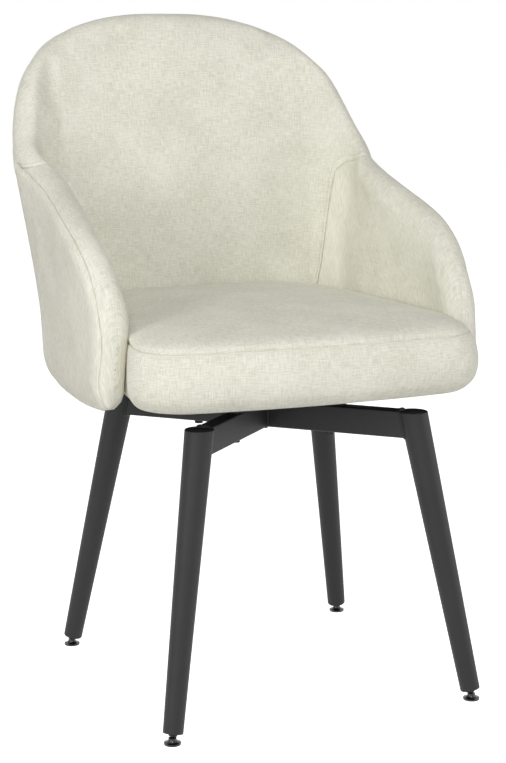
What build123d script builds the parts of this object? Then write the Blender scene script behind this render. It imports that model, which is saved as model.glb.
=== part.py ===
from build123d import *
import os
from math import atan2, cos, hypot, radians, sin, sqrt

# Swivel dining chair: an upholstered tub seat on a ball-race swivel, over four splayed tube
# legs joined by a cross of rectangular tube. Millimetres, +Z up, the front faces -Y.
# Everything is worked out about the swivel axis, which stands at x = y = 0 until save()
# moves it to its place in the chair's own frame.

# ---------------------------------------------------------------- driving dimensions
CLEAR = 0.3                 # air between pieces that don't touch
RUN_CLEAR = 0.05            # radial running clearance of a shaft in its hole
HOLE_CLEAR = 0.2            # radial clearance of a bolt in its hole
OVER = 1.0                  # cutters and fused pieces run this far past each other

# base frame
FOOT_REACH = 203.0          # feet at (+-FOOT_REACH, +-FOOT_REACH)
TOP_REACH = 144.0           # leg tops, same sense
LEG_TOP_Z = 369.0           # centre of a leg's top end
LEG_TOP_R = 18.0            # tapered tube, outside radius at the top
LEG_FOOT_R = 12.5           # and at the bottom
LEG_WALL = 1.8
LEG_EDGE_R = 1.2            # rounded outer edge at both ends
CAP_RECESS = 1.2            # the cap's disc lies this far below the tube's end
CAP_DISC = 2.5
CAP_PLUG = 12.0
BAR_PROUD = 0.5             # the bars' top above the middle of the leg tops
BAR_DEPTH = 35.0
BAR_WIDTH = 20.0
BAR_WALL = 1.6
BAR_CORNER_R = 2.5
COPE_OVER = 30.0            # the cutter that copes a bar runs on past the leg's top

# levelling glides
BALL_Z = 6.0                # ball centre above the floor
BALL_R = 3.5
SOCKET_CLEAR = 0.08
NECK_R = 1.6
SHANK_R = 4.0               # M8 stud
SHANK_UP = 34.0             # stud length above its hexagon
HEX_FLATS = 10.0
HEX_THICK = 2.6
NECK_LENGTH = 4.2           # from the ball centre to the hexagon's underside
PAD_R = 10.5
PAD_EDGE_R = 0.6
PAD_RIM = 2.5               # height of the pad's upright rim
PAD_FLARE = 1.4             # the flare's middle, outside the collar
PAD_COLLAR = 1.6            # straight collar round the ball
PAD_NECK_R = 4.9
PAD_HEIGHT = 8.3
INSERT_LENGTH = 26.0

# swivel
SPACER_R = 8.0
SPACER_THICK = 2.5
PLATE_SIZE = 170.0
PLATE_THICK = 3.0
PLATE_CORNER_R = 12.0
RACE_GAP = 6.0              # between the two plates
RACE_R = 54.0               # circle of ball centres
RACE_BALL_R = 4.0
RACE_BALLS = 16
CAGE_WIDTH = 18.0
CAGE_THICK = 3.0
CAGE_HOLE_CLEAR = 0.25
RIVET_R = 10.0
RIVET_BORE_R = 7.0
RIVET_FLANGE_R = 14.0
RIVET_FLANGE = 1.5
BOLT_R = 3.0                # M6
BOLT_HEAD_FLATS = 10.0
BOLT_HEAD = 4.0
BASE_BOLT_REACH = 65.0      # bolts at (+-65, +-65), through the bars
WELD_NUT_FLATS = 10.0
WELD_NUT = 4.0
SEAT_BOLT_REACH = 55.0
SEAT_BOLT_HEAD_R = 5.0
SEAT_BOLT_HEAD = 2.5
TEE_NUT_R = 4.0
TEE_FLANGE_R = 9.0
TEE_FLANGE = 1.2
MOUNT_SIZE = 240.0          # plywood block between the swivel and the seat board
MOUNT_THICK = 18.0
MOUNT_CORNER_R = 20.0
MOUNT_BORE_R = 20.0
MOUNT_SCREW_EDGE = 16.0     # screws in from the mounting board's sides
SCREW_R = 2.5
SCREW_HEAD_R = 5.0
SCREW_HEAD = 3.0
SCREW_TIP = 2.0             # a mounting screw's tip below the seat board's top

# seat board, cushion and shell
BOARD_THICK = 12.0
LAYER_GAP = 0.8             # between the shell's core, padding and outer cover
BOARD_FIT = 0.8             # board edge to the shell's core
BOARD_SETBACK = 24.0        # board edge behind the cushion's front and side
DUST_THICK = 1.0
DUST_INSET = 16.0           # cloth's edge inside the wall's middle
DUST_SETBACK = 4.0          # cloth's edge behind the board's, at the front
DUST_CUT = 1.0              # round the mounting board
SEAT_FRONT = 209.0          # middle of the cushion's front ahead of the swivel axis
SEAT_FRONT_BOW = 12.0       # the front edge's bow
SEAT_CORNER_R = 63.0
SEAT_CORNER_LEAD = 0.03     # fuller than a true quarter circle, as a share of its radius
SEAT_FRONT_LEAD = 0.045
SEAT_INNER_R = 10.0         # least plan radius of the crown's rings, at the front
SEAT_INNER_REAR_R = 12.0    # and at the rear
SEAT_TUCK = 11.0            # its widest part, ahead of the arms, inside an arm's middle
SEAT_NECK = 38.0            # from that widest part back to where it lies between the arms
FRONT_GAP = 4.0             # the cushion's side to the arm's inner face, at that neck
SIDE_GAP = 1.5              # cushion side to arm
CUSHION_HANG = 6.0          # its front and sides hang this far below the board's underside
CUSHION_LEAN = 0.27         # the cushion's rear leans back with the wall, per unit of height
SEAM_UP = 68.0              # stitched edge round the top panel, above the board's underside
SEAM_INSET = (8.5, 4.5, 3.0)    # the seam inside the widest line: front, sides, rear
CROWN = 24.0                # rise of the top panel above the seam
UNDER_ROLL = [              # height above the cushion's bottom, inset: soft lower edge, band
    (0.0, 17.0), (3.0, 12.5), (8.0, 8.0), (16.0, 3.0), (30.0, 0.0), (45.0, 0.3)]
BAND_TUCK = (10.0, 4.0, 2.5, 1.8)   # the band draws in from this far below the seam
CROWN_RINGS = [             # share of the crown's rise, inset at the front, the sides and the rear
    (0.20, 13.0, 5.5, 1.0), (0.42, 22.0, 8.0, 0.0), (0.62, 38.0, 20.0, -2.0),
    (0.79, 62.0, 44.0, -3.0), (0.92, 98.0, 80.0, -1.0), (1.0, 148.0, 132.0, 30.0)]

ARM_HALF_REAR = 227.0       # middle of the arm wall, at the rear corner
ARM_HALF_FRONT = 243.0      # and at its front
WALL_HALF = 22.0            # half the wall's thickness
BACK_FOOT = 217.5           # middle of the back wall at seat level, behind the axis
CORNER_R = 77.0             # plan radius of the rear corners at seat level
ARM_FRONT = 110.5           # foremost point of the arms ahead of the axis
COVER_FRONT = 62.0          # where core and outer cover end, ahead of the axis
FOOT_ROLL_OUT = 27.0        # height of the soft roll at the wall's foot, outside
FOOT_ROLL_DOWN = 13.0       # how far the roll hangs below the seat board, at an arm's front
FOOT_FULL = 3.0             # it hangs this much lower before its whole outside moves down
FOOT_LIP = 14.0             # the outer cover's turn-in below the board, inside the middle
CORE_IN = 2.0               # bent plywood core, from the wall's middle outwards
CORE_THICK = 10.0
CORE_DROP = 12.0            # core's edge below the rim roll's centre
WELT_DROP = 2.0             # outer cover's top seam below the rim roll's centre
SHELL_SCREW_UP = 6.0        # screw line above the seat board's underside
SHELL_SCREW_AHEAD = (-70.0, 20.0)   # screws in each arm, ahead of the swivel axis
SHELL_SCREW_BACK = 90.0     # screws in the back, either side of its middle
SHELL_SCREW_IN = 28.0       # length into the seat board
SHELL_SCREW_PILOT = 4.0     # the hole runs on past the screw's tip
SHELL_SCREW_SINK = 1.0      # head below the core's outer face

# Each station of the wall: how far the rim leans out from the wall's foot, the heights of the
# rim roll's centre and of the rim's crest above the seat board's underside, and how much lower
# the foot hangs than at an arm's front.
BACK_STATIONS = [           # place along the straight of the back: 0 in the middle, 1 at its end
    (0.0, 146.0, 442.0, 464.0, 3.0),
    (0.25, 146.0, 440.5, 463.0, 3.0),
    (0.5, 145.0, 436.5, 459.0, 3.0),
    (0.75, 140.5, 428.0, 451.5, 3.0),
]
CORNER_STATIONS = [         # plan angle round the rear corner, 90 at the back, 0 at the arm
    (90.0, 130.0, 412.0, 437.0, 3.0),
    (67.5, 97.0, 352.0, 386.0, 3.0),
    (45.0, 54.0, 262.0, 297.0, 3.0),
    (22.5, 14.0, 237.0, 261.0, 4.0),
    (0.0, 5.0, 225.5, 248.5, 7.0),
]
ARM_STATIONS = [            # this far ahead of the swivel axis
    (-110.0, 5.0, 215.5, 238.5, 10.5),
    (-80.0, 5.0, 206.0, 229.0, 11.5),
    (-50.0, 6.0, 196.5, 219.5, 11.5),
    (-20.0, 6.0, 186.0, 209.5, 11.0),
    (10.0, 5.0, 173.0, 198.0, 9.5),
    (36.0, 2.5, 157.0, 184.0, 7.5),
    (62.0, -1.5, 132.5, 164.5, 5.0),
]
ROLL_STATIONS = [           # the rounded front of an arm, with its share of the half thickness
    (80.0, -4.0, 103.0, 145.0, 3.0, 1.00),
    (95.0, -6.0, 90.0, 122.0, 1.2, 0.95),
    (103.0, -7.0, 80.0, 102.0, 0.0, 0.76),
    (107.5, -7.5, 72.0, 85.0, 0.0, 0.52),
    (ARM_FRONT, -7.5, 60.0, 64.0, 0.0, 0.16),
]
SEAM_RIM = CORNER_STATIONS[3]       # where the seam of back and arm crosses the rim
SEAM_FOOT_ANGLE = 68.0      # plan angle of that seam at the seat

# ---------------------------------------------------------------- levels and places
BAR_TOP_Z = LEG_TOP_Z + BAR_PROUD
BAR_BOTTOM_Z = BAR_TOP_Z - BAR_DEPTH
LOWER_PLATE_Z = BAR_TOP_Z + SPACER_THICK
RACE_LOW_Z = LOWER_PLATE_Z + PLATE_THICK
RACE_BALL_Z = RACE_LOW_Z + RACE_GAP / 2
UPPER_PLATE_Z = RACE_LOW_Z + RACE_GAP
MOUNT_Z = UPPER_PLATE_Z + PLATE_THICK
BOARD_Z = MOUNT_Z + MOUNT_THICK
BOARD_TOP_Z = BOARD_Z + BOARD_THICK
SEAM_Z = BOARD_Z + SEAM_UP

RIM_BACK = BACK_FOOT + BACK_STATIONS[0][1] + WALL_HALF
FOOT_FRONT = FOOT_REACH + PAD_R
AXIS_Y = (FOOT_FRONT - RIM_BACK) / 2        # swivel axis in the chair's own frame

CORNER_X = ARM_HALF_REAR - CORNER_R         # plan centre of the right rear corner
CORNER_Y = BACK_FOOT - CORNER_R

LEG_SPAN = sqrt(2) * (FOOT_REACH - TOP_REACH)
LEG_RISE = LEG_TOP_Z - BALL_Z
LEG_AXIS_LENGTH = hypot(LEG_SPAN, LEG_RISE)
TUBE_START = NECK_LENGTH + HEX_THICK + CLEAR    # along the leg's axis from the ball centre
TUBE_LENGTH = LEG_AXIS_LENGTH - TUBE_START

MOUNT_SCREW_REACH = MOUNT_SIZE / 2 - MOUNT_SCREW_EDGE
SEAT_HALF = ARM_HALF_FRONT - SEAT_TUCK      # half width ahead of the arms
SHELL_SCREW_HEAD_AT = CORE_THICK - SCREW_HEAD - SHELL_SCREW_SINK
HALF_WAY = sqrt(0.5)        # a quarter circle's middle, as a share of its radius

CORNERS = {"front_left": (-1, -1), "front_right": (1, -1),
           "rear_left": (-1, 1), "rear_right": (1, 1)}

os.makedirs("parts", exist_ok=True)


def save(name, shape):
    """Write one sub-part, moved from the swivel axis to the chair's own frame."""
    export_step(Pos(0, AXIS_Y, 0) * shape, f"parts/{name}.step")


# ---------------------------------------------------------------- small shapes
def disc(radius, low, high, x=0.0, y=0.0):
    """Upright cylinder between two heights."""
    return Pos(x, y, (low + high) / 2) * Cylinder(radius, high - low)


def hole(radius, low, high, x=0.0, y=0.0):
    """Cutter for a hole right through, between two heights."""
    return disc(radius, low - OVER, high + OVER, x, y)


def ring(outer, inner, low, high, x=0.0, y=0.0):
    return disc(outer, low, high, x, y) - hole(inner, low, high, x, y)


def slab(side, corner_r, low, high):
    """Square plate with rounded corners."""
    return Pos(0, 0, low) * extrude(RectangleRounded(side, side, corner_r), high - low)


def hexagon(flats, low, high, x=0.0, y=0.0):
    return Pos(x, y, low) * extrude(RegularPolygon(flats / 2, 6, major_radius=False), high - low)


def four(reach, make):
    """The same piece at the four corners of a square, as one group."""
    return Compound([make(sx * reach, sy * reach) for sx, sy in CORNERS.values()])


def outline(start, *steps):
    """Closed face through straight lines and three-point arcs.

    A step is the next point, or a pair: a point on the arc and its end.
    """
    edges = []
    here = start
    for step in steps:
        if isinstance(step[0], tuple):
            edges.append(ThreePointArc(here, step[0], step[1]))
            here = step[1]
        else:
            edges.append(Line(here, step))
            here = step
    if here != start:
        edges.append(Line(here, start))
    return make_face(edges)


# ---------------------------------------------------------------- base frame
def leg_place(sx, sy):
    """Frame with its origin at the glide's ball and +Z up along the leg's axis."""
    foot = Vector(sx * FOOT_REACH, sy * FOOT_REACH, BALL_Z)
    top = Vector(sx * TOP_REACH, sy * TOP_REACH, LEG_TOP_Z)
    return Plane(origin=foot, x_dir=Vector(sx, sy, 0).cross(Vector(0, 0, 1)), z_dir=top - foot)


def taper_r(up):
    """Outside radius of the leg tube, this far up its axis from the ball centre."""
    share = (up - TUBE_START) / TUBE_LENGTH
    return LEG_FOOT_R + (LEG_TOP_R - LEG_FOOT_R) * share


def taper(low, high, inset):
    """Solid cone along the leg's axis, its side this far inside the tube's outer side."""
    cone = Cone(taper_r(low) - inset, taper_r(high) - inset, high - low)
    return Pos(0, 0, (low + high) / 2) * cone


def level_cut(sx, sy, high, inset):
    """Cone of a leg from below its cap up to a level cut at this height."""
    body = leg_place(sx, sy) * taper(TUBE_START, LEG_AXIS_LENGTH + COPE_OVER, inset)
    return split(body, Plane.XY.offset(high), keep=Keep.BOTTOM)


def leg(sx, sy):
    """Tapered tube, square to its axis at the foot and cut level at the top."""
    body = level_cut(sx, sy, LEG_TOP_Z, 0)
    ends = body.edges().group_by(Axis.Z)
    body = fillet(ends[0] + ends[-1], LEG_EDGE_R)
    bore = taper(TUBE_START - OVER, LEG_AXIS_LENGTH + COPE_OVER, LEG_WALL)
    return body - leg_place(sx, sy) * bore


def leg_cap(sx, sy):
    """Plug of dark plastic that closes the top of a leg."""
    top = LEG_TOP_Z - CAP_RECESS
    inset = LEG_WALL + RUN_CLEAR
    plug = split(level_cut(sx, sy, top, inset), Plane.XY.offset(top - CAP_PLUG), keep=Keep.TOP)
    plug = fillet(plug.edges().group_by(Axis.Z)[-1], CAP_RECESS / 2)
    return plug - level_cut(sx, sy, top - CAP_DISC, inset + LEG_WALL)


def foot_insert(sx, sy):
    """Threaded plug pressed into the bottom of a leg, for the glide's stud."""
    body = taper(TUBE_START, TUBE_START + INSERT_LENGTH, LEG_WALL + RUN_CLEAR)
    bore = Pos(0, 0, TUBE_START + INSERT_LENGTH / 2) * Cylinder(
        SHANK_R + RUN_CLEAR, INSERT_LENGTH + 2 * OVER)
    return leg_place(sx, sy) * (body - bore)


def leveller_stud(sx, sy):
    """Threaded stud with a hexagon to turn it by and a ball for the pad."""
    hex_top = NECK_LENGTH + HEX_THICK
    ball = Sphere(BALL_R)
    neck = disc(NECK_R, 0, NECK_LENGTH + OVER)
    shank = disc(SHANK_R, hex_top - OVER, hex_top + SHANK_UP)
    return leg_place(sx, sy) * (ball + neck + hexagon(HEX_FLATS, NECK_LENGTH, hex_top) + shank)


def glide_pad(sx, sy):
    """Flared foot, level on the floor, that snaps over the stud's ball."""
    edge = PAD_EDGE_R * (1 - HALF_WAY)
    profile = outline((0, 0), (PAD_R - PAD_EDGE_R, 0), ((PAD_R - edge, edge), (PAD_R, PAD_EDGE_R)),
                      (PAD_R, PAD_RIM), ((PAD_NECK_R + PAD_FLARE, PAD_RIM + PAD_COLLAR),
                                         (PAD_NECK_R, PAD_HEIGHT - PAD_COLLAR)),
                      (PAD_NECK_R, PAD_HEIGHT), (0, PAD_HEIGHT))
    body = revolve(Plane.XZ * profile, Axis.Z)
    body -= Pos(0, 0, BALL_Z) * Sphere(BALL_R + SOCKET_CLEAR)
    return Pos(sx * FOOT_REACH, sy * FOOT_REACH, 0) * body


def bar_blank(start, end):
    """Rectangular tube lying on its narrow side along +X, between two distances."""
    middle = Pos((start + end) / 2, 0, BAR_TOP_Z - BAR_DEPTH / 2)
    section = Plane.YZ * RectangleRounded(BAR_WIDTH, BAR_DEPTH, BAR_CORNER_R)
    inner = Plane.YZ * RectangleRounded(BAR_WIDTH - 2 * BAR_WALL, BAR_DEPTH - 2 * BAR_WALL,
                                        BAR_CORNER_R - BAR_WALL / 2)
    tube = extrude(section, (end - start) / 2, both=True)
    return middle * (tube - extrude(inner, (end - start) / 2 + OVER, both=True))


def bar_trim(bar):
    """Cope a bar to the leg tubes and drill it for the base bolts."""
    for sx, sy in CORNERS.values():
        bar -= leg_place(sx, sy) * taper(TUBE_START, LEG_AXIS_LENGTH + COPE_OVER, 0)
    for sx, sy in CORNERS.values():
        bar -= hole(BOLT_R + HOLE_CLEAR, BAR_BOTTOM_Z, BAR_TOP_Z,
                    sx * BASE_BOLT_REACH, sy * BASE_BOLT_REACH)
    return max(bar.solids(), key=lambda s: s.volume)


BAR_REACH = sqrt(2) * (TOP_REACH + FOOT_REACH) / 2
long_bar = bar_trim(Rot(0, 0, -45) * bar_blank(-BAR_REACH, BAR_REACH))
save("cross_bar_long", long_bar)
save("cross_bar_front_left", bar_trim(Rot(0, 0, -135) * bar_blank(BAR_WIDTH / 2, BAR_REACH)))
save("cross_bar_rear_right", bar_trim(Rot(0, 0, 45) * bar_blank(BAR_WIDTH / 2, BAR_REACH)))

for corner, (sign_x, sign_y) in CORNERS.items():
    save(f"leg_{corner}", leg(sign_x, sign_y))
    save(f"leg_cap_{corner}", leg_cap(sign_x, sign_y))
    save(f"foot_insert_{corner}", foot_insert(sign_x, sign_y))
    save(f"leveller_stud_{corner}", leveller_stud(sign_x, sign_y))
    save(f"glide_pad_{corner}", glide_pad(sign_x, sign_y))


# ---------------------------------------------------------------- swivel
def race_groove():
    return Pos(0, 0, RACE_BALL_Z) * Torus(RACE_R, RACE_BALL_R + RUN_CLEAR)


def lower_plate():
    plate = slab(PLATE_SIZE, PLATE_CORNER_R, LOWER_PLATE_Z, RACE_LOW_Z) - race_groove()
    plate -= hole(RIVET_R + RUN_CLEAR, LOWER_PLATE_Z, RACE_LOW_Z)
    for sx, sy in CORNERS.values():
        plate -= hole(BOLT_R + HOLE_CLEAR, LOWER_PLATE_Z, RACE_LOW_Z,
                      sx * BASE_BOLT_REACH, sy * BASE_BOLT_REACH)
    return plate


def upper_plate():
    plate = slab(PLATE_SIZE, PLATE_CORNER_R, UPPER_PLATE_Z, MOUNT_Z) - race_groove()
    plate -= hole(RIVET_R + RUN_CLEAR, UPPER_PLATE_Z, MOUNT_Z)
    for sx, sy in CORNERS.values():
        plate -= hole(BOLT_R + HOLE_CLEAR, UPPER_PLATE_Z, MOUNT_Z,
                      sx * SEAT_BOLT_REACH, sy * SEAT_BOLT_REACH)
    return plate


def centre_rivet():
    """Hollow rivet, fast in the lower plate, that holds the upper plate down."""
    low = LOWER_PLATE_Z - RIVET_FLANGE
    high = MOUNT_Z + CLEAR + RIVET_FLANGE
    body = disc(RIVET_R, low, high)
    body += disc(RIVET_FLANGE_R, low, LOWER_PLATE_Z)
    body += disc(RIVET_FLANGE_R, MOUNT_Z + CLEAR, high)
    return body - hole(RIVET_BORE_R, low, high)


def race_places():
    turn = 360 / RACE_BALLS
    return [Rot(0, 0, turn * i) * Pos(RACE_R, 0, RACE_BALL_Z) for i in range(RACE_BALLS)]


def ball_cage():
    body = ring(RACE_R + CAGE_WIDTH / 2, RACE_R - CAGE_WIDTH / 2,
                RACE_BALL_Z - CAGE_THICK / 2, RACE_BALL_Z + CAGE_THICK / 2)
    for place in race_places():
        body -= place * Cylinder(RACE_BALL_R + CAGE_HOLE_CLEAR, CAGE_THICK + 2 * OVER)
    return body


def base_bolt(x, y):
    head = hexagon(BOLT_HEAD_FLATS, BAR_BOTTOM_Z - BOLT_HEAD, BAR_BOTTOM_Z, x, y)
    return head + disc(BOLT_R, BAR_BOTTOM_Z - OVER, RACE_LOW_Z + WELD_NUT, x, y)


def spacer(x, y):
    return ring(SPACER_R, BOLT_R + HOLE_CLEAR, BAR_TOP_Z, LOWER_PLATE_Z, x, y)


def weld_nut(x, y):
    body = hexagon(WELD_NUT_FLATS, RACE_LOW_Z, RACE_LOW_Z + WELD_NUT, x, y)
    return body - hole(BOLT_R + RUN_CLEAR, RACE_LOW_Z, RACE_LOW_Z + WELD_NUT, x, y)


def seat_bolt(x, y):
    head = disc(SEAT_BOLT_HEAD_R, UPPER_PLATE_Z - SEAT_BOLT_HEAD, UPPER_PLATE_Z, x, y)
    return head + disc(BOLT_R, UPPER_PLATE_Z - OVER, BOARD_Z - TEE_FLANGE, x, y)


def tee_nut(x, y):
    body = disc(TEE_NUT_R, MOUNT_Z + MOUNT_THICK / 2, BOARD_Z - CLEAR, x, y)
    body += disc(TEE_FLANGE_R, BOARD_Z - CLEAR - TEE_FLANGE, BOARD_Z - CLEAR, x, y)
    return body - hole(BOLT_R + RUN_CLEAR, MOUNT_Z, BOARD_Z, x, y)


def mounting_board():
    body = slab(MOUNT_SIZE, MOUNT_CORNER_R, MOUNT_Z, BOARD_Z)
    body -= hole(MOUNT_BORE_R, MOUNT_Z, BOARD_Z)
    for sx, sy in CORNERS.values():
        x, y = sx * SEAT_BOLT_REACH, sy * SEAT_BOLT_REACH
        body -= hole(TEE_NUT_R + RUN_CLEAR, MOUNT_Z, BOARD_Z, x, y)
        body -= disc(TEE_FLANGE_R + CLEAR, BOARD_Z - CLEAR - TEE_FLANGE, BOARD_Z + OVER, x, y)
        x, y = sx * MOUNT_SCREW_REACH, sy * MOUNT_SCREW_REACH
        body -= hole(SCREW_R + RUN_CLEAR, MOUNT_Z, BOARD_Z, x, y)
        body -= disc(SCREW_HEAD_R + HOLE_CLEAR, MOUNT_Z - OVER, MOUNT_Z + SCREW_HEAD, x, y)
    return body


def mounting_screw(x, y):
    head = disc(SCREW_HEAD_R, MOUNT_Z, MOUNT_Z + SCREW_HEAD, x, y)
    return head + disc(SCREW_R, MOUNT_Z + OVER, BOARD_TOP_Z - SCREW_TIP, x, y)


save("swivel_lower_plate", lower_plate())
save("swivel_upper_plate", upper_plate())
save("centre_rivet", centre_rivet())
save("ball_cage", ball_cage())
save("bearing_balls", Compound([place * Sphere(RACE_BALL_R) for place in race_places()]))
save("spacer_washers", four(BASE_BOLT_REACH, spacer))
save("base_bolts", four(BASE_BOLT_REACH, base_bolt))
save("weld_nuts", four(BASE_BOLT_REACH, weld_nut))
save("seat_bolts", four(SEAT_BOLT_REACH, seat_bolt))
save("tee_nuts", four(SEAT_BOLT_REACH, tee_nut))
save("mounting_board", mounting_board())
save("mounting_screws", four(MOUNT_SCREW_REACH, mounting_screw))


# ---------------------------------------------------------------- plan of the tub
def arm_x(ahead):
    """Middle of the arm wall, this far ahead of the swivel axis."""
    share = (ahead + CORNER_Y) / (ARM_FRONT + CORNER_Y)
    return ARM_HALF_REAR + (ARM_HALF_FRONT - ARM_HALF_REAR) * share


def corner_point(angle, offset=0.0):
    """Point round the right rear corner, offset outwards from the wall's middle."""
    turn = radians(angle)
    reach = CORNER_R + offset
    return (CORNER_X + reach * cos(turn), CORNER_Y + reach * sin(turn))


def tub_plan(offset, front):
    """Plan of the tub's inside at an offset from the wall's middle, closed across the front."""
    arm = (arm_x(front) + offset, -front)
    arm_end = corner_point(0, offset)
    back_end = corner_point(90, offset)
    middle = corner_point(45, offset)
    flip = [(-x, y) for x, y in (back_end, middle, arm_end, arm)]
    return outline(arm, arm_end, (middle, back_end), flip[0], (flip[1], flip[2]), flip[3])


def seat_plan(inset, side_inset=None, rear_inset=None):
    """Plan of the cushion, drawn in by an inset, with its bowed front.

    It lies between the arms and swells a little in front of them. The sides between the arms
    and the rear may have insets of their own. The corners tighten more slowly than the rings
    shrink, down to their least radius.
    """
    side_inset = inset if side_inset is None else side_inset
    rear_inset = inset if rear_inset is None else rear_inset
    half = SEAT_HALF - inset
    front = SEAT_FRONT - inset
    front_side = front - SEAT_FRONT_BOW
    corner = max(SEAT_CORNER_R - inset / 2, SEAT_INNER_R)
    neck = front_side - corner - SEAT_NECK
    rear_half = ARM_HALF_REAR - WALL_HALF - SIDE_GAP - side_inset
    rear_r = max(CORNER_R - WALL_HALF - SIDE_GAP - side_inset / 3, SEAT_INNER_REAR_R)
    rear = BACK_FOOT - WALL_HALF - SIDE_GAP - rear_inset
    arc_in = 1 - HALF_WAY
    points = {
        "neck": (arm_x(neck) - WALL_HALF - FRONT_GAP - side_inset, -neck),
        "side": (half, corner - front_side),
        "corner": (half - corner * arc_in, corner * (arc_in - SEAT_CORNER_LEAD) - front_side),
        "front": (half - corner, -corner * SEAT_FRONT_LEAD - front_side),
        "rear_side": (rear_half, rear - rear_r),
        "rear_corner": (rear_half - rear_r * arc_in, rear - rear_r * arc_in),
        "rear": (rear_half - rear_r, rear),
    }
    flip = {name: (-x, y) for name, (x, y) in points.items()}
    return outline(
        points["front"], (points["corner"], points["side"]), points["neck"],
        points["rear_side"], (points["rear_corner"], points["rear"]), flip["rear"],
        (flip["rear_corner"], flip["rear_side"]), flip["neck"], flip["side"],
        (flip["corner"], flip["front"]), ((0.0, -front), points["front"]))


# ---------------------------------------------------------------- seat board and dust cover
def shell_screw_places():
    """Frames at the core's inner face with +Z pointing out through the core."""
    height = BOARD_Z + SHELL_SCREW_UP
    places = []
    for side in (1, -1):
        for ahead in SHELL_SCREW_AHEAD:
            x = side * (arm_x(ahead) + CORE_IN)
            places.append(Plane(origin=(x, -ahead, height), z_dir=(side, 0, 0)))
        places.append(Plane(origin=(side * SHELL_SCREW_BACK, BACK_FOOT + CORE_IN, height),
                            z_dir=(0, 1, 0)))
    return places


def shell_screw():
    shank = disc(SCREW_R, -SHELL_SCREW_IN, SHELL_SCREW_HEAD_AT)
    return shank + disc(SCREW_HEAD_R, SHELL_SCREW_HEAD_AT, SHELL_SCREW_HEAD_AT + SCREW_HEAD)


def shell_screw_hole():
    """Cutter for the screw's hole, and for its head down from the core's outer face."""
    shank = disc(SCREW_R + RUN_CLEAR, -SHELL_SCREW_IN - SHELL_SCREW_PILOT, CORE_THICK)
    return shank + disc(SCREW_HEAD_R + HOLE_CLEAR, SHELL_SCREW_HEAD_AT, CORE_THICK + WALL_HALF)


def seat_board():
    """Plywood board: wide between the arms, narrower where the cushion comes forward."""
    wide = tub_plan(CORE_IN - BOARD_FIT, COVER_FRONT - CLEAR)
    front_part = seat_plan(BOARD_SETBACK)
    body = Pos(0, 0, BOARD_Z) * extrude(wide + front_part, BOARD_THICK)
    for sx, sy in CORNERS.values():
        body -= disc(SCREW_R + RUN_CLEAR, BOARD_Z - OVER, BOARD_TOP_Z - SCREW_TIP + OVER,
                     sx * MOUNT_SCREW_REACH, sy * MOUNT_SCREW_REACH)
    for place in shell_screw_places():
        body -= place * shell_screw_hole()
    return body


def dust_cover():
    """Black cloth stapled under the seat board, cut out round the mounting board."""
    sheet = tub_plan(-DUST_INSET, COVER_FRONT) + seat_plan(BOARD_SETBACK + DUST_SETBACK)
    cut = MOUNT_SIZE + 2 * DUST_CUT
    sheet -= RectangleRounded(cut, cut, MOUNT_CORNER_R + DUST_CUT)
    return Pos(0, 0, BOARD_Z - CLEAR - DUST_THICK) * extrude(sheet, DUST_THICK)


save("seat_board", seat_board())
save("dust_cover", dust_cover())


# ---------------------------------------------------------------- cushion
def seat_cushion():
    """Foam and cover in one: boxed band, stitched edge, crowned top.

    Its front hangs over the board's edge, and its rear leans back with the wall.
    """
    low = BOARD_Z - CUSHION_HANG
    levels = [(low + up, inset, inset, inset) for up, inset in UNDER_ROLL]
    levels += [(SEAM_Z - BAND_TUCK[0], *BAND_TUCK[1:]), (SEAM_Z, *SEAM_INSET)]
    levels += [(SEAM_Z + CROWN * rise, *insets) for rise, *insets in CROWN_RINGS]
    plans = [Pos(0, 0, z) * seat_plan(front, side, rear - (z - BOARD_Z) * CUSHION_LEAN)
             for z, front, side, rear in levels]
    return loft(plans, ruled=True)


def board_pocket():
    """Space for the board, open below."""
    plan = tub_plan(CORE_IN, COVER_FRONT) + seat_plan(BOARD_SETBACK - CLEAR)
    low = BOARD_Z - CUSHION_HANG - OVER
    return Pos(0, 0, low) * extrude(plan, BOARD_TOP_Z + CLEAR - low)


save("seat_cushion", seat_cushion() - board_pocket())


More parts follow.
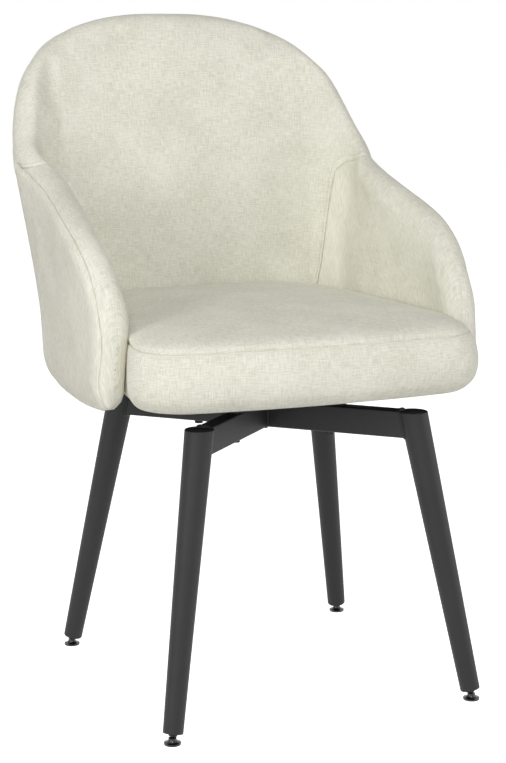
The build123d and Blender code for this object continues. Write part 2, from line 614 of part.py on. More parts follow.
# ---------------------------------------------------------------- shell walls
class Station:
    """An upright plane across the wall; t runs outwards from its middle, s up along it."""

    def __init__(self, point, normal, reach, spring, crest, hang, share=1.0):
        self.plane = Plane(origin=(point[0], point[1], 0), x_dir=(normal[0], normal[1], 0),
                           z_dir=(normal[1], -normal[0], 0))
        self.lean = atan2(reach, spring)
        self.length = hypot(reach, spring)
        self.crest = crest - spring
        self.half = WALL_HALF * share
        self.roll_up = FOOT_ROLL_OUT - max(hang - FOOT_FULL, 0.0)
        self.roll_down = FOOT_ROLL_DOWN + hang
        self.share = share

    def high(self, t, s):
        """Point of the leaning wall, s from its foot."""
        return (s * sin(self.lean) + t * cos(self.lean),
                BOARD_Z + s * cos(self.lean) - t * sin(self.lean))

    def on_line(self, t, up):
        """Point at a height above the board's underside, on the line of a layer's face."""
        top = self.high(t, self.length)
        share = up / (top[1] - BOARD_Z)
        return (t + (top[0] - t) * share, BOARD_Z + up)

    def foot(self, t, down=0.0):
        return (t, BOARD_Z - down)

    def cap(self):
        """Arcs over the rim, from the inner face to the outer one."""
        high, half, top, rise = self.high, self.half, self.length, self.crest
        aside, up = HALF_WAY * half, top + HALF_WAY * rise
        return [(high(-aside, up), high(0, top + rise)), (high(aside, up), high(half, top))]

    def pad(self):
        """Inner pad: up the inside, over the core's edge and the rim, and down to the welt."""
        core_in, core_out = CORE_IN - LAYER_GAP, CORE_IN + CORE_THICK
        under, welt = self.length - CORE_DROP, self.length - WELT_DROP
        low = BOARD_THICK + CLEAR
        return self.plane * outline(
            self.on_line(-self.half, low), self.high(-self.half, self.length), *self.cap(),
            self.high(self.half, welt), self.high(core_out, welt), self.high(core_out, under),
            self.high(core_in, under), self.on_line(core_in, low))

    def core(self):
        out = CORE_IN + CORE_THICK
        top = self.length - CORE_DROP - LAYER_GAP
        return self.plane * outline(self.foot(CORE_IN), self.high(CORE_IN, top),
                                    self.high(out, top), self.foot(out))

    def cover(self):
        """Outer cover: from the welt down the outside, round the foot and under the board."""
        inner = CORE_IN + CORE_THICK + LAYER_GAP
        top = self.length - WELT_DROP - LAYER_GAP
        start = self.high(self.half, self.roll_up)
        bottom = self.foot(0, self.roll_down)
        return self.plane * outline(
            self.high(inner, top), self.high(self.half, top), start,
            (self.foot_arc(start, bottom), bottom), self.foot(-FOOT_LIP, self.roll_down),
            self.foot(-FOOT_LIP, CLEAR), self.foot(inner, CLEAR))

    def foot_arc(self, side, bottom):
        """Middle of the soft arc from the wall's side to the bottom of its foot."""
        return (side[0] * HALF_WAY, side[1] - HALF_WAY * (side[1] - bottom[1]))

    def roll(self):
        """Whole section of the wall, for the padded front of an arm."""
        outer = self.high(self.half, self.roll_up)
        inner = self.high(-self.half, self.roll_up / 2)
        bottom = self.foot(0, self.roll_down * self.share)
        return self.plane * outline(
            inner, self.high(-self.half, self.length), *self.cap(), outer,
            (self.foot_arc(outer, bottom), bottom), (self.foot_arc(inner, bottom), inner))


def back_station(share, reach, spring, crest, hang, side):
    return Station((side * share * CORNER_X, BACK_FOOT), (0.0, 1.0), reach, spring, crest, hang)


def corner_station(angle, reach, spring, crest, hang, side):
    x, y = corner_point(angle)
    turn = radians(angle)
    return Station((side * x, y), (side * cos(turn), sin(turn)), reach, spring, crest, hang)


def arm_station(ahead, reach, spring, crest, hang, side, share=1.0):
    place = (side * arm_x(ahead), -ahead)
    return Station(place, (side, 0.0), reach, spring, crest, hang, share)


def half_stations(side):
    """Stations from the middle of the back to the front of one arm."""
    rows = [back_station(*row, side) for row in BACK_STATIONS]
    rows += [corner_station(*row, side) for row in CORNER_STATIONS]
    rows += [arm_station(*row, side) for row in ARM_STATIONS]
    return rows


RIGHT = half_stations(1)
LEFT = half_stations(-1)
ROUND = LEFT[:0:-1] + RIGHT                  # left arm, round the back, right arm


def seam_plane(side):
    """Plane of the seam between inner back and inner arm; +Z towards the back.

    It goes from the wall's foot to the rim and cuts square through the wall between them.
    """
    rim_angle, reach, _, crest, _ = SEAM_RIM
    foot = Vector(*corner_point(SEAM_FOOT_ANGLE), BOARD_Z)
    rim = Vector(*corner_point(rim_angle, reach), BOARD_Z + crest)
    turn = radians((rim_angle + SEAM_FOOT_ANGLE) / 2)
    across = Vector(cos(turn), sin(turn), 0)
    normal = (rim - foot).cross(across)
    return Plane(origin=(side * foot.X, foot.Y, foot.Z), x_dir=(side * across.X, across.Y, 0),
                 z_dir=(side * normal.X, normal.Y, normal.Z))


def arm_roll(side):
    """Padded front of one arm, whole section, rounded off forwards."""
    ahead, *rim = ARM_STATIONS[-1]
    rows = [(ahead + CLEAR, *rim, 1.0)] + ROLL_STATIONS
    return loft([arm_station(*row[:5], side, row[5]).roll() for row in rows], ruled=True)


core = loft([s.core() for s in ROUND])
for place in shell_screw_places():
    core -= place * shell_screw_hole()
save("shell_core", core)
save("shell_screws", Compound([place * shell_screw() for place in shell_screw_places()]))
save("outer_cover", loft([s.cover() for s in ROUND]))

padding = loft([s.pad() for s in ROUND])
inner_back = padding
for side_name, sign in (("right", 1), ("left", -1)):
    seam = seam_plane(sign)
    save(f"inner_arm_pad_{side_name}", split(padding, seam, keep=Keep.BOTTOM))
    save(f"arm_front_pad_{side_name}", arm_roll(sign))
    inner_back = split(inner_back, seam, keep=Keep.TOP)
save("inner_back_pad", inner_back)
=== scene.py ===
from math import atan2, cos, hypot, pi, radians, sin

import bpy
import numpy as np
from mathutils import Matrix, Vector
from mathutils.bvhtree import BVHTree
from mathutils.geometry import delaunay_2d_cdt


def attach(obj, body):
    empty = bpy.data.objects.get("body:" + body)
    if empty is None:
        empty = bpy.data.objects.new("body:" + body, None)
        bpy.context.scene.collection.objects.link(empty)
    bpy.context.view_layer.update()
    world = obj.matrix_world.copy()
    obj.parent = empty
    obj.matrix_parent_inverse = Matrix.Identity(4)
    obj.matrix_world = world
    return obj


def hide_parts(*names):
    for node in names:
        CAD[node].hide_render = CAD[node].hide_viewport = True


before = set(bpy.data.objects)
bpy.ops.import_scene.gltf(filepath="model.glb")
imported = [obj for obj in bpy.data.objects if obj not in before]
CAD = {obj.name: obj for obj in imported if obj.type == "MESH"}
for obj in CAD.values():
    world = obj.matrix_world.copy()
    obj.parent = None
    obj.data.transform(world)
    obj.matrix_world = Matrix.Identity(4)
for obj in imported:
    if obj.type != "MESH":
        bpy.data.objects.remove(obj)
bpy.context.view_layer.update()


# ------------------------------------------------------------------------------- camera
# The photograph's viewpoint: a long lens at the front left, turned to the right and a little
# down, so that the chair fills the tall frame.
CAMERA_PLACE = (-0.9341, -2.3024, 0.8386)
CAMERA_DOWN = 0.183529
CAMERA_TURN = -0.3932787
LENS_MM = 89.0
FILM_MM = 36.0

bpy.ops.object.camera_add(location=CAMERA_PLACE, rotation=(pi / 2 - CAMERA_DOWN, 0, CAMERA_TURN))
camera = bpy.context.object
camera.data.lens = LENS_MM
camera.data.sensor_width = FILM_MM
bpy.context.scene.camera = camera
bpy.context.scene.view_settings.view_transform = "Standard"


# ------------------------------------------------------------------------------- studio
# Seamless white paper under and behind the chair. It is lit by the same soft lamps, and looks
# pure white to the camera and in reflections, with no shadow on it.
PAPER = "#F4F4F2"
PAPER_REACH = 9.0
PAPER_GLOW = 1.0            # seen by the camera and in reflections only
WORLD_FILL = 0.2            # light from all round
LAMPS = [                   # name, place, size, power in watts: all aimed at the seat
    ("left_softbox", (-3.2, -1.7, 1.5), 1.6, 47.0),
    ("front_softbox", (-1.0, -3.3, 2.1), 1.6, 30.0),
    ("right_softbox", (3.0, -1.8, 1.0), 1.6, 27.0),
    ("high_softbox", (-1.2, -2.2, 3.0), 1.6, 38.0),
]
AIM = Vector((0.0, 0.0, 0.5))


def linear(colour):
    """sRGB hex to the linear RGBA that shaders take."""
    parts = [int(colour[i:i + 2], 16) / 255 for i in (1, 3, 5)]
    return (*[p / 12.92 if p <= 0.04045 else ((p + 0.055) / 1.055) ** 2.4 for p in parts], 1.0)


def add(owner, kind, inputs=None, **settings):
    """Add a shader node to a material or world; an input is a value or another node's output."""
    made = owner.node_tree.nodes.new("ShaderNode" + kind)
    for name, value in settings.items():
        setattr(made, name, value)
    for name, value in (inputs or {}).items():
        if isinstance(value, bpy.types.NodeSocket):
            owner.node_tree.links.new(value, made.inputs[name])
        else:
            made.inputs[name].default_value = value
    return made


def new_material(name):
    """An empty node material."""
    material = bpy.data.materials.new(name)
    material.use_nodes = True
    material.node_tree.nodes.clear()
    return material


def seen_directly(owner):
    """1 for rays of the camera, reflections and refractions; 0 for light between surfaces."""
    path = add(owner, "LightPath")
    mirror = add(owner, "Math", {0: path.outputs["Is Glossy Ray"],
                                 1: path.outputs["Is Transmission Ray"]}, operation="MAXIMUM")
    return add(owner, "Math", {0: path.outputs["Is Camera Ray"], 1: mirror.outputs[0]},
               operation="MAXIMUM").outputs[0]


def white_paper():
    material = new_material("white_paper")
    matt = add(material, "BsdfDiffuse", {"Color": linear(PAPER)})
    glow = add(material, "Emission", {"Strength": PAPER_GLOW})
    both = add(material, "AddShader", {0: matt.outputs[0], 1: glow.outputs[0]})
    shown = add(material, "MixShader", {0: seen_directly(material), 1: matt.outputs[0],
                                        2: both.outputs[0]})
    add(material, "OutputMaterial", {"Surface": shown.outputs[0]})
    return material


bpy.ops.object.select_all(action="DESELECT")
bpy.ops.mesh.primitive_circle_add(vertices=64, radius=PAPER_REACH, fill_type="NGON")
paper = bpy.context.object
paper.name = "paper_floor"
paper.data.materials.append(white_paper())

world = bpy.data.worlds.new("studio")
world.use_nodes = True
world.node_tree.nodes.clear()
fill = add(world, "Background", {"Color": linear("#FFFFFF"), "Strength": WORLD_FILL})
wall = add(world, "Background", {"Color": linear("#FFFFFF"), "Strength": 1.0})
shown = add(world, "MixShader", {0: seen_directly(world), 1: fill.outputs[0], 2: wall.outputs[0]})
add(world, "OutputWorld", {"Surface": shown.outputs[0]})
bpy.context.scene.world = world

for lamp_name, place, size, power in LAMPS:
    turn = (AIM - Vector(place)).to_track_quat("-Z", "Y").to_euler()
    bpy.ops.object.light_add(type="AREA", location=place, rotation=turn)
    lamp = bpy.context.object
    lamp.name = lamp_name
    lamp.data.size = size
    lamp.data.energy = power


# ------------------------------------------------------------------------------- legs and bars
# Four tapered legs and the crossed bars, of mild steel tube, welded together and powder coated.
# The coat is a matt charcoal skin with a fine grain of fused powder, which breaks highlights up.
POWDER_BLACK = "#1B1B1C"
POWDER_PALE = "#242425"
POWDER_GRAIN_MM = 1.1       # real grain is about 0.2 mm, drawn coarser so that it shows
POWDER_DRIFT_MM = 60.0      # slow drift of tone along the tubes
CORNERS = {"front_left": (-1, -1), "front_right": (1, -1), "rear_left": (-1, 1),
           "rear_right": (1, 1)}
LEG_FOOT = (0.203, 0.0098, 0.0125)      # reach each way from the axis, height, radius
LEG_TOP = (0.144, 0.369, 0.018)
BAR_TOP_Z = 0.3695
BAR_DEPTH = 0.035
BAR_HALF = 0.010
BAR_CORNER_R = 0.0025
BEAD_R = 0.0016             # fillet weld, about 3 mm across
BEAD_RIPPLE = 0.12          # each puddle of weld swells the bead by this share
BEAD_POINTS = 88            # points round a bar's end
AXIS_Y = -0.086             # swivel axis in the chair's frame


def finish(material, **inputs):
    """Add a material's main shader; an input is a value or another node's output."""
    shader = add(material, "BsdfPrincipled", {k.replace("_", " "): v for k, v in inputs.items()})
    add(material, "OutputMaterial", {"Surface": shader.outputs[0]})
    return material


def powder_coat():
    material = new_material("powder_coated_steel")
    place = add(material, "TexCoord").outputs["Object"]
    drift = add(material, "TexNoise", {"Vector": place, "Scale": 1000 / POWDER_DRIFT_MM})
    grain = add(material, "TexNoise", {"Vector": place, "Scale": 1000 / POWDER_GRAIN_MM,
                                       "Detail": 3.0})
    tone = add(material, "Mix", {0: drift.outputs["Fac"], 6: linear(POWDER_BLACK),
                                 7: linear(POWDER_PALE)}, data_type="RGBA")
    rough = add(material, "MapRange", {"Value": grain.outputs["Fac"], "From Min": 0.3,
                                       "From Max": 0.7, "To Min": 0.5, "To Max": 0.6})
    bump = add(material, "Bump", {"Height": grain.outputs["Fac"], "Distance": 0.00015,
                                  "Strength": 0.7})
    return finish(material, Base_Color=tone.outputs[2], Roughness=rough.outputs[0],
                  Normal=bump.outputs["Normal"], IOR=1.5, Specular_IOR_Level=0.32)


def dress(material, slot_name, *names):
    """Give CAD nodes their material; the slot name is not used."""
    for name in names:
        for place in CAD[name].material_slots:
            place.material = material


def bar_end(along, side, up):
    """Where a bar meets its leg: place on the leg's cone at this height and side."""
    share = (up - LEG_FOOT[1]) / (LEG_TOP[1] - LEG_FOOT[1])
    axis, radius = [a + (b - a) * share for a, b in ((LEG_FOOT[0], LEG_TOP[0]),
                                                     (LEG_FOOT[2], LEG_TOP[2]))]
    slope = 2 ** 0.5 * (LEG_FOOT[0] - LEG_TOP[0]) / (LEG_TOP[1] - LEG_FOOT[1])
    reach = 2 ** 0.5 * axis - hypot(1, slope) * (radius ** 2 - side ** 2) ** 0.5
    return (along[0] * reach - along[1] * side, along[1] * reach + along[0] * side + AXIS_Y, up)


def bar_side(along, side, up):
    """Where a half bar meets the long bar's side."""
    return (along[0] * BAR_HALF - along[1] * side, along[1] * BAR_HALF + along[0] * side + AXIS_Y,
            up)


def weld_bead(place_of, along):
    """A bead of weld round the end of a bar."""
    low, corner = BAR_TOP_Z - BAR_DEPTH, BAR_CORNER_R
    path = []
    for quarter, (sx, sz) in enumerate(((1, 1), (-1, 1), (-1, -1), (1, -1))):
        middle = (sx * (BAR_HALF - corner), (low + BAR_TOP_Z) / 2 + sz * (BAR_DEPTH / 2 - corner))
        for turn in np.linspace(quarter, quarter + 1, 6) * pi / 2:
            path.append((middle[0] + corner * cos(turn), middle[1] + corner * sin(turn)))
    path = np.array(path + path[:1])
    length = np.r_[0, np.cumsum(np.linalg.norm(np.diff(path, axis=0), axis=1))]
    at = np.linspace(0, length[-1], BEAD_POINTS + 1)[:-1]
    curve = bpy.data.curves.new("weld_bead", "CURVE")
    curve.dimensions = "3D"
    curve.bevel_depth = BEAD_R
    curve.bevel_resolution = 1
    spline = curve.splines.new("POLY")
    spline.points.add(len(at) - 1)
    spline.use_cyclic_u = True
    for number, (point, side, up) in enumerate(zip(spline.points, np.interp(at, length, path[:, 0]),
                                                   np.interp(at, length, path[:, 1]))):
        point.co = (*place_of(along, side, up), 1.0)
        point.radius = 1 + BEAD_RIPPLE * (number % 2)
    bead = bpy.data.objects.new("weld_bead", curve)
    bpy.context.scene.collection.objects.link(bead)
    return bead


POWDER = powder_coat()
dress(POWDER, "black_metal", "cross_bar_long", "cross_bar_front_left", "cross_bar_rear_right",
      *["leg_" + corner for corner in CORNERS])
beads = [weld_bead(bar_end, (sx * 0.5 ** 0.5, sy * 0.5 ** 0.5)) for sx, sy in CORNERS.values()]
beads += [weld_bead(bar_side, (s * 0.5 ** 0.5, s * 0.5 ** 0.5)) for s in (-1, 1)]
bpy.ops.object.select_all(action="DESELECT")
for bead in beads:
    bead.select_set(True)
bpy.context.view_layer.objects.active = beads[0]
bpy.ops.object.convert(target="MESH")
bpy.ops.object.join()
welds = bpy.context.object
welds.name = "bar_welds"
bpy.ops.object.shade_smooth()
welds.data.materials.append(POWDER)
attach(welds, "frame")


# ------------------------------------------------------------------------------- caps and glides
# Injection-moulded plastic: polypropylene caps and threaded plugs close the tubes, and harder,
# glossier acetal glides stand on the floor. Moulding leaves a fine even texture.
CAP_BLACK = ("#161617", "#1E1E1F")
GLIDE_BLACK = ("#0D0D0E", "#151516")
MOULD_GRAIN_MM = 0.8


def moulded(name, tones, rough_low, rough_high):
    material = new_material(name)
    place = add(material, "TexCoord").outputs["Object"]
    grain = add(material, "TexNoise", {"Vector": place, "Scale": 1000 / MOULD_GRAIN_MM,
                                       "Detail": 2.0}).outputs["Fac"]
    tone = add(material, "Mix", {0: grain, 6: linear(tones[0]), 7: linear(tones[1])},
               data_type="RGBA")
    rough = add(material, "MapRange", {"Value": grain, "To Min": rough_low, "To Max": rough_high})
    bump = add(material, "Bump", {"Height": grain, "Distance": 0.00006, "Strength": 0.5})
    return finish(material, Base_Color=tone.outputs[2], Roughness=rough.outputs[0],
                  Normal=bump.outputs["Normal"], IOR=1.49)


dress(moulded("moulded_polypropylene", CAP_BLACK, 0.4, 0.5), "black_plastic",
      *["leg_cap_" + corner for corner in CORNERS],
      *["foot_insert_" + corner for corner in CORNERS])
dress(moulded("moulded_acetal", GLIDE_BLACK, 0.16, 0.26), "glide_plastic",
      *["glide_pad_" + corner for corner in CORNERS])


# ------------------------------------------------------------------------------- swivel, fixings
# Zinc-plated rivet, washers, nuts and screws, which dull in soft patches. The base bolts and
# levelling studs are blackened, the race plates powder coated and the bearing balls polished.
ZINC = ("#9C9FA1", "#C3C5C6")
BLACKED = ("#242425", "#343436")
BALL_BRIGHT = ("#CDCECF", "#DCDDDD")
ZINC_PATCH_MM = 6.0


def plated(name, tones, rough_low, rough_high):
    material = new_material(name)
    place = add(material, "TexCoord").outputs["Object"]
    patches = add(material, "TexNoise", {"Vector": place, "Scale": 1000 / ZINC_PATCH_MM,
                                         "Detail": 3.0})
    share = add(material, "MapRange", {"Value": patches.outputs["Fac"], "From Min": 0.35,
                                       "From Max": 0.65}).outputs[0]
    tone = add(material, "Mix", {0: share, 6: linear(tones[0]), 7: linear(tones[1])},
               data_type="RGBA")
    rough = add(material, "MapRange", {"Value": share, "To Min": rough_high, "To Max": rough_low})
    return finish(material, Base_Color=tone.outputs[2], Roughness=rough.outputs[0], Metallic=1.0)


dress(plated("blackened_steel", BLACKED, 0.45, 0.6), "black_steel", "base_bolts",
      *["leveller_stud_" + corner for corner in CORNERS])
dress(plated("zinc_plated_steel", ZINC, 0.36, 0.5), "zinc_steel", "weld_nuts", "seat_bolts",
      "tee_nuts", "mounting_screws", "shell_screws", "spacer_washers", "centre_rivet")
dress(POWDER, "black_metal", "swivel_lower_plate", "swivel_upper_plate")
dress(plated("polished_bearing_steel", BALL_BRIGHT, 0.08, 0.12), "ball_steel", "bearing_balls")


# ------------------------------------------------------------------------------- ball cage
# The ring that keeps the balls apart is moulded in natural nylon, off-white and slightly waxy.
NYLON = ("#CBC6B6", "#D8D4C6")

dress(moulded("natural_nylon", NYLON, 0.35, 0.45), "cage_plastic", "ball_cage")


# ------------------------------------------------------------------------------- boards
# Birch plywood: pale veneer with long soft grain, and darker glue lines between the plies on
# every cut edge. The two boards under the seat are stained black, so that they don't show.
BIRCH = ("#B8976A", "#D9C09A")
STAINED = ("#171615", "#242220")
GLUE_LINE = "#4E3520"
GLUE_STAINED = "#0C0B0B"
GRAIN_WIDTH_MM = 3.0
GRAIN_LONG = 0.06           # the grain runs this much slower along the board than across
PLY_MM = 1.5


def plywood(name, tones, glue):
    material = new_material(name)
    place = add(material, "TexCoord").outputs["Object"]
    long = add(material, "Mapping", {"Vector": place, "Scale": (1.0, GRAIN_LONG, 1.0)})
    grain = add(material, "TexNoise", {"Vector": long.outputs[0], "Detail": 4.0,
                                       "Scale": 1000 / GRAIN_WIDTH_MM}).outputs["Fac"]
    share = add(material, "MapRange", {"Value": grain, "From Min": 0.3, "From Max": 0.7})
    wood = add(material, "Mix", {0: share.outputs[0], 6: linear(tones[0]), 7: linear(tones[1])},
               data_type="RGBA")
    height = add(material, "SeparateXYZ", {0: place}).outputs["Z"]
    ply = add(material, "Math", {0: height, 1: 1000 / PLY_MM}, operation="MULTIPLY")
    part = add(material, "Math", {0: ply.outputs[0]}, operation="FRACT")
    line = add(material, "Math", {0: part.outputs[0], 1: 0.2}, operation="LESS_THAN")
    facing = add(material, "NewGeometry").outputs["True Normal"]
    flat = add(material, "Math", {0: add(material, "SeparateXYZ", {0: facing}).outputs["Z"]},
               operation="ABSOLUTE")
    edge = add(material, "Math", {0: flat.outputs[0], 1: 0.5}, operation="LESS_THAN")
    glued = add(material, "Math", {0: line.outputs[0], 1: edge.outputs[0]}, operation="MULTIPLY")
    tone = add(material, "Mix", {0: glued.outputs[0], 6: wood.outputs[2], 7: linear(glue)},
               data_type="RGBA")
    bump = add(material, "Bump", {"Height": grain, "Distance": 0.0001, "Strength": 0.5})
    return finish(material, Base_Color=tone.outputs[2], Normal=bump.outputs["Normal"],
                  Roughness=0.62)


dress(plywood("birch_plywood", BIRCH, GLUE_LINE), "plywood", "shell_core")
dress(plywood("stained_plywood", STAINED, GLUE_STAINED), "black_plywood", "seat_board",
      "mounting_board")


# ------------------------------------------------------------------------------- dust cloth
# Black spun-bonded polypropylene, stapled under the seat board: a thin felt with a pattern of
# small pressed dots.
FELT = ("#161617", "#252527")
DOT_MM = 2.4


def pressed_felt():
    material = new_material("spunbonded_cloth")
    place = add(material, "TexCoord").outputs["Object"]
    dots = add(material, "TexVoronoi", {"Vector": place, "Scale": 1000 / DOT_MM,
                                        "Randomness": 0.15})
    raised = add(material, "MapRange", {"Value": dots.outputs["Distance"], "From Min": 0.15,
                                        "From Max": 0.5}).outputs[0]
    tone = add(material, "Mix", {0: raised, 6: linear(FELT[0]), 7: linear(FELT[1])},
               data_type="RGBA")
    bump = add(material, "Bump", {"Height": raised, "Distance": 0.0002, "Strength": 0.6})
    return finish(material, Base_Color=tone.outputs[2], Normal=bump.outputs["Normal"],
                  Roughness=0.92)


dress(pressed_felt(), "dust_cloth", "dust_cover")


# ------------------------------------------------------------------------------- cover fabric
# Heathered polyester linen in ecru: plain weave with slubs, thick and thin threads both ways,
# which show as short light and dark dashes. Matt, with a faint bloom at grazing angles.
ECRU = ("#CFCDBD", "#DDDBCD", "#E9E7DB")
SLUB_LONG_MM = 13.0
SLUB_THICK_MM = 1.4         # real threads are about 0.6 mm, drawn coarser so that they show
HEATHER_MM = 70.0           # slow drift of tone over the cloth
CLOTH_MAP = "cloth"         # UV map in metres, along and across the cloth


def linen():
    material = new_material("ecru_linen_weave")
    place = add(material, "UVMap", uv_map=CLOTH_MAP).outputs["UV"]
    threads = []
    for long_side in (0, 1):
        scale = [1000 / SLUB_THICK_MM, 1000 / SLUB_THICK_MM, 1.0]
        scale[long_side] = 1000 / SLUB_LONG_MM
        drawn = add(material, "Mapping", {"Vector": place, "Scale": scale,
                                          "Location": (7.3 * long_side, 3.1, 0.0)})
        threads.append(add(material, "TexNoise", {"Vector": drawn.outputs[0], "Scale": 1.0,
                                                  "Detail": 2.5, "Roughness": 0.6}))
    weave = add(material, "Math", {0: threads[0].outputs["Fac"], 1: threads[1].outputs["Fac"]},
                operation="ADD").outputs[0]
    drift = add(material, "TexNoise", {"Vector": place, "Scale": 1000 / HEATHER_MM,
                                       "Detail": 2.0}).outputs["Fac"]
    sum_up = add(material, "Math", {0: drift, 1: 0.5, 2: weave}, operation="MULTIPLY_ADD")
    share = add(material, "MapRange", {"Value": sum_up.outputs[0], "From Min": 1.0,
                                       "From Max": 1.5}).outputs[0]
    dark = add(material, "MapRange", {"Value": share, "From Max": 0.5}).outputs[0]
    pale = add(material, "MapRange", {"Value": share, "From Min": 0.5}).outputs[0]
    low = add(material, "Mix", {0: dark, 6: linear(ECRU[0]), 7: linear(ECRU[1])},
              data_type="RGBA")
    tone = add(material, "Mix", {0: pale, 6: low.outputs[2], 7: linear(ECRU[2])},
               data_type="RGBA")
    bump = add(material, "Bump", {"Height": weave, "Distance": 0.0002, "Strength": 0.4})
    return finish(material, Base_Color=tone.outputs[2], Normal=bump.outputs["Normal"],
                  Roughness=0.9, Sheen_Weight=0.10, Sheen_Roughness=0.5, Specular_IOR_Level=0.2)


LINEN = linen()


# ------------------------------------------------------------------------------- tub walls
# The tub is one padded wall, 44 mm thick, that leans out behind the sitter and rolls over a
# soft rim. It is drawn as a wall of upright sections along the plan, from the middle of the
# back round the corner to the rounded front of an arm, and the left side mirrors the right.
# A point of its skin has two measures, in metres: x, how far along the wall it lies, and w, how
# far from the rim's crest over the skin, negative inside the tub and positive outside.
BOARD_Z = 0.402             # underside of the seat board, where the wall's lean starts
BOARD_TOP = 0.0123          # the inner pads start this far above it
WALL_HALF = 0.022
ARM_HALF_REAR = 0.227       # middle of the arm wall, at its rear and front
ARM_HALF_FRONT = 0.243
ARM_HALF_AT = 0.1105        # where it reaches the front one, ahead of the axis
BACK_FOOT = 0.2175
CORNER_R = 0.077
FOOT_OUT = 0.027            # soft roll at the wall's foot: its height, and how far it hangs
FOOT_DOWN = 0.013
FOOT_IN = 0.35              # the roll is this much lower on the inside
FOOT_FULL = 0.003           # it hangs this much lower before its whole outside moves down
FOOT_LIP = 0.014            # the cover's turn-in below the board
COVER_FRONT = 0.062         # the cover's turn-in ends here, ahead of the axis
SIDE_POINTS = 29            # points down a wall's straight side
LIP_POINTS = 5              # and along the cover's turn-in

BACK_RIM = [                # share of the straight: lean-out, roll centre, crest, hang of foot
    (0.0, 0.146, 0.442, 0.464, 0.003), (0.25, 0.146, 0.4405, 0.463, 0.003),
    (0.5, 0.145, 0.4365, 0.459, 0.003), (0.75, 0.1405, 0.428, 0.4515, 0.003)]
CORNER_RIM = [              # plan angle, 90 at the back: the same
    (90.0, 0.130, 0.412, 0.437, 0.003), (67.5, 0.097, 0.352, 0.386, 0.003),
    (45.0, 0.054, 0.262, 0.297, 0.003), (22.5, 0.014, 0.237, 0.261, 0.004),
    (0.0, 0.005, 0.2255, 0.2485, 0.007)]
ARM_RIM = [                 # distance ahead of the axis: the same
    (-0.110, 0.005, 0.2155, 0.2385, 0.0105), (-0.080, 0.005, 0.206, 0.229, 0.0115),
    (-0.050, 0.006, 0.1965, 0.2195, 0.0115), (-0.020, 0.006, 0.186, 0.2095, 0.011),
    (0.010, 0.005, 0.173, 0.198, 0.0095), (0.036, 0.0025, 0.157, 0.184, 0.0075),
    (0.062, -0.0015, 0.1325, 0.1645, 0.005)]
FRONT_RIM = [               # the same, and the share of the wall's half thickness
    (0.080, -0.004, 0.103, 0.145, 0.003, 1.0), (0.095, -0.006, 0.090, 0.122, 0.0012, 0.93),
    (0.103, -0.007, 0.080, 0.102, 0.0, 0.76), (0.1075, -0.0075, 0.072, 0.085, 0.0, 0.54),
    (0.110, -0.0075, 0.062, 0.068, 0.0, 0.25), (0.1108, -0.0075, 0.056, 0.057, 0.0, 0.0)]

CORNER_X = ARM_HALF_REAR - CORNER_R
CORNER_Y = BACK_FOOT - CORNER_R
CORNER_END = CORNER_X + CORNER_R * pi / 2       # plan distance where the arm starts


def plan_of(ahead):
    """Plan distance from the back's middle of a place on the arm."""
    return CORNER_END + CORNER_Y + ahead


def rim_table():
    """Rows of x, plan distance, lean-out, roll centre, crest, hang and thickness share."""
    rows = [(share * CORNER_X, *rest, 1.0) for share, *rest in BACK_RIM]
    rows += [(CORNER_X + CORNER_R * radians(90 - angle), *rest, 1.0)
             for angle, *rest in CORNER_RIM]
    rows += [(plan_of(ahead), *rest, 1.0) for ahead, *rest in ARM_RIM]
    rows += [(plan_of(ahead), *rest) for ahead, *rest in FRONT_RIM]
    table = [(0.0, *rows[0])]
    for old, new in zip(rows, rows[1:]):
        step = new[0] - old[0]
        in_corner = CORNER_X <= old[0] < CORNER_END - 1e-9
        half_way_out = 0.6 * (old[1] + new[1]) / 2      # the wall leans out, so it is longer
        step *= 1 + (half_way_out / CORNER_R if in_corner else 0)
        step = hypot(step, WALL_HALF * (new[5] - old[5]))
        table.append((table[-1][0] + step, *new))
    return np.array(table)


def smooth(at, keys, values):
    """Cubic through the keys that never overshoots them."""
    h = np.diff(keys)
    slope = np.diff(values, axis=0) / h[:, None]
    tangent = np.zeros_like(values)
    same = slope[1:] * slope[:-1] > 0
    mean = 2 * slope[1:] * slope[:-1] / np.where(same, slope[1:] + slope[:-1], 1.0)
    tangent[1:-1] = np.where(same, mean, 0.0)
    tangent[-1] = slope[-1]
    i = np.clip(np.searchsorted(keys, at) - 1, 0, len(h) - 1)
    t = ((at - keys[i]) / h[i])[:, None]
    rise = h[i][:, None]
    return ((1 + 2 * t) * (1 - t) ** 2 * values[i] + t * (1 - t) ** 2 * rise * tangent[i]
            + t * t * (3 - 2 * t) * values[i + 1] - t * t * (1 - t) * rise * tangent[i + 1])


def arm_half(ahead):
    """Middle of the arm wall from the chair's middle, this far ahead of the axis."""
    share = (ahead + CORNER_Y) / (ARM_HALF_AT + CORNER_Y)
    return ARM_HALF_REAR + (ARM_HALF_FRONT - ARM_HALF_REAR) * share


def plan_point(distance):
    """Plan point of the wall's middle and its outward normal, on the right side."""
    if distance <= CORNER_X:
        return (distance, BACK_FOOT), (0.0, 1.0)
    if distance <= CORNER_END:
        turn = pi / 2 - (distance - CORNER_X) / CORNER_R
        out = (cos(turn), sin(turn))
        return (CORNER_X + CORNER_R * out[0], CORNER_Y + CORNER_R * out[1]), out
    ahead = distance - CORNER_END - CORNER_Y
    return (arm_half(ahead), -ahead), (1.0, 0.0)


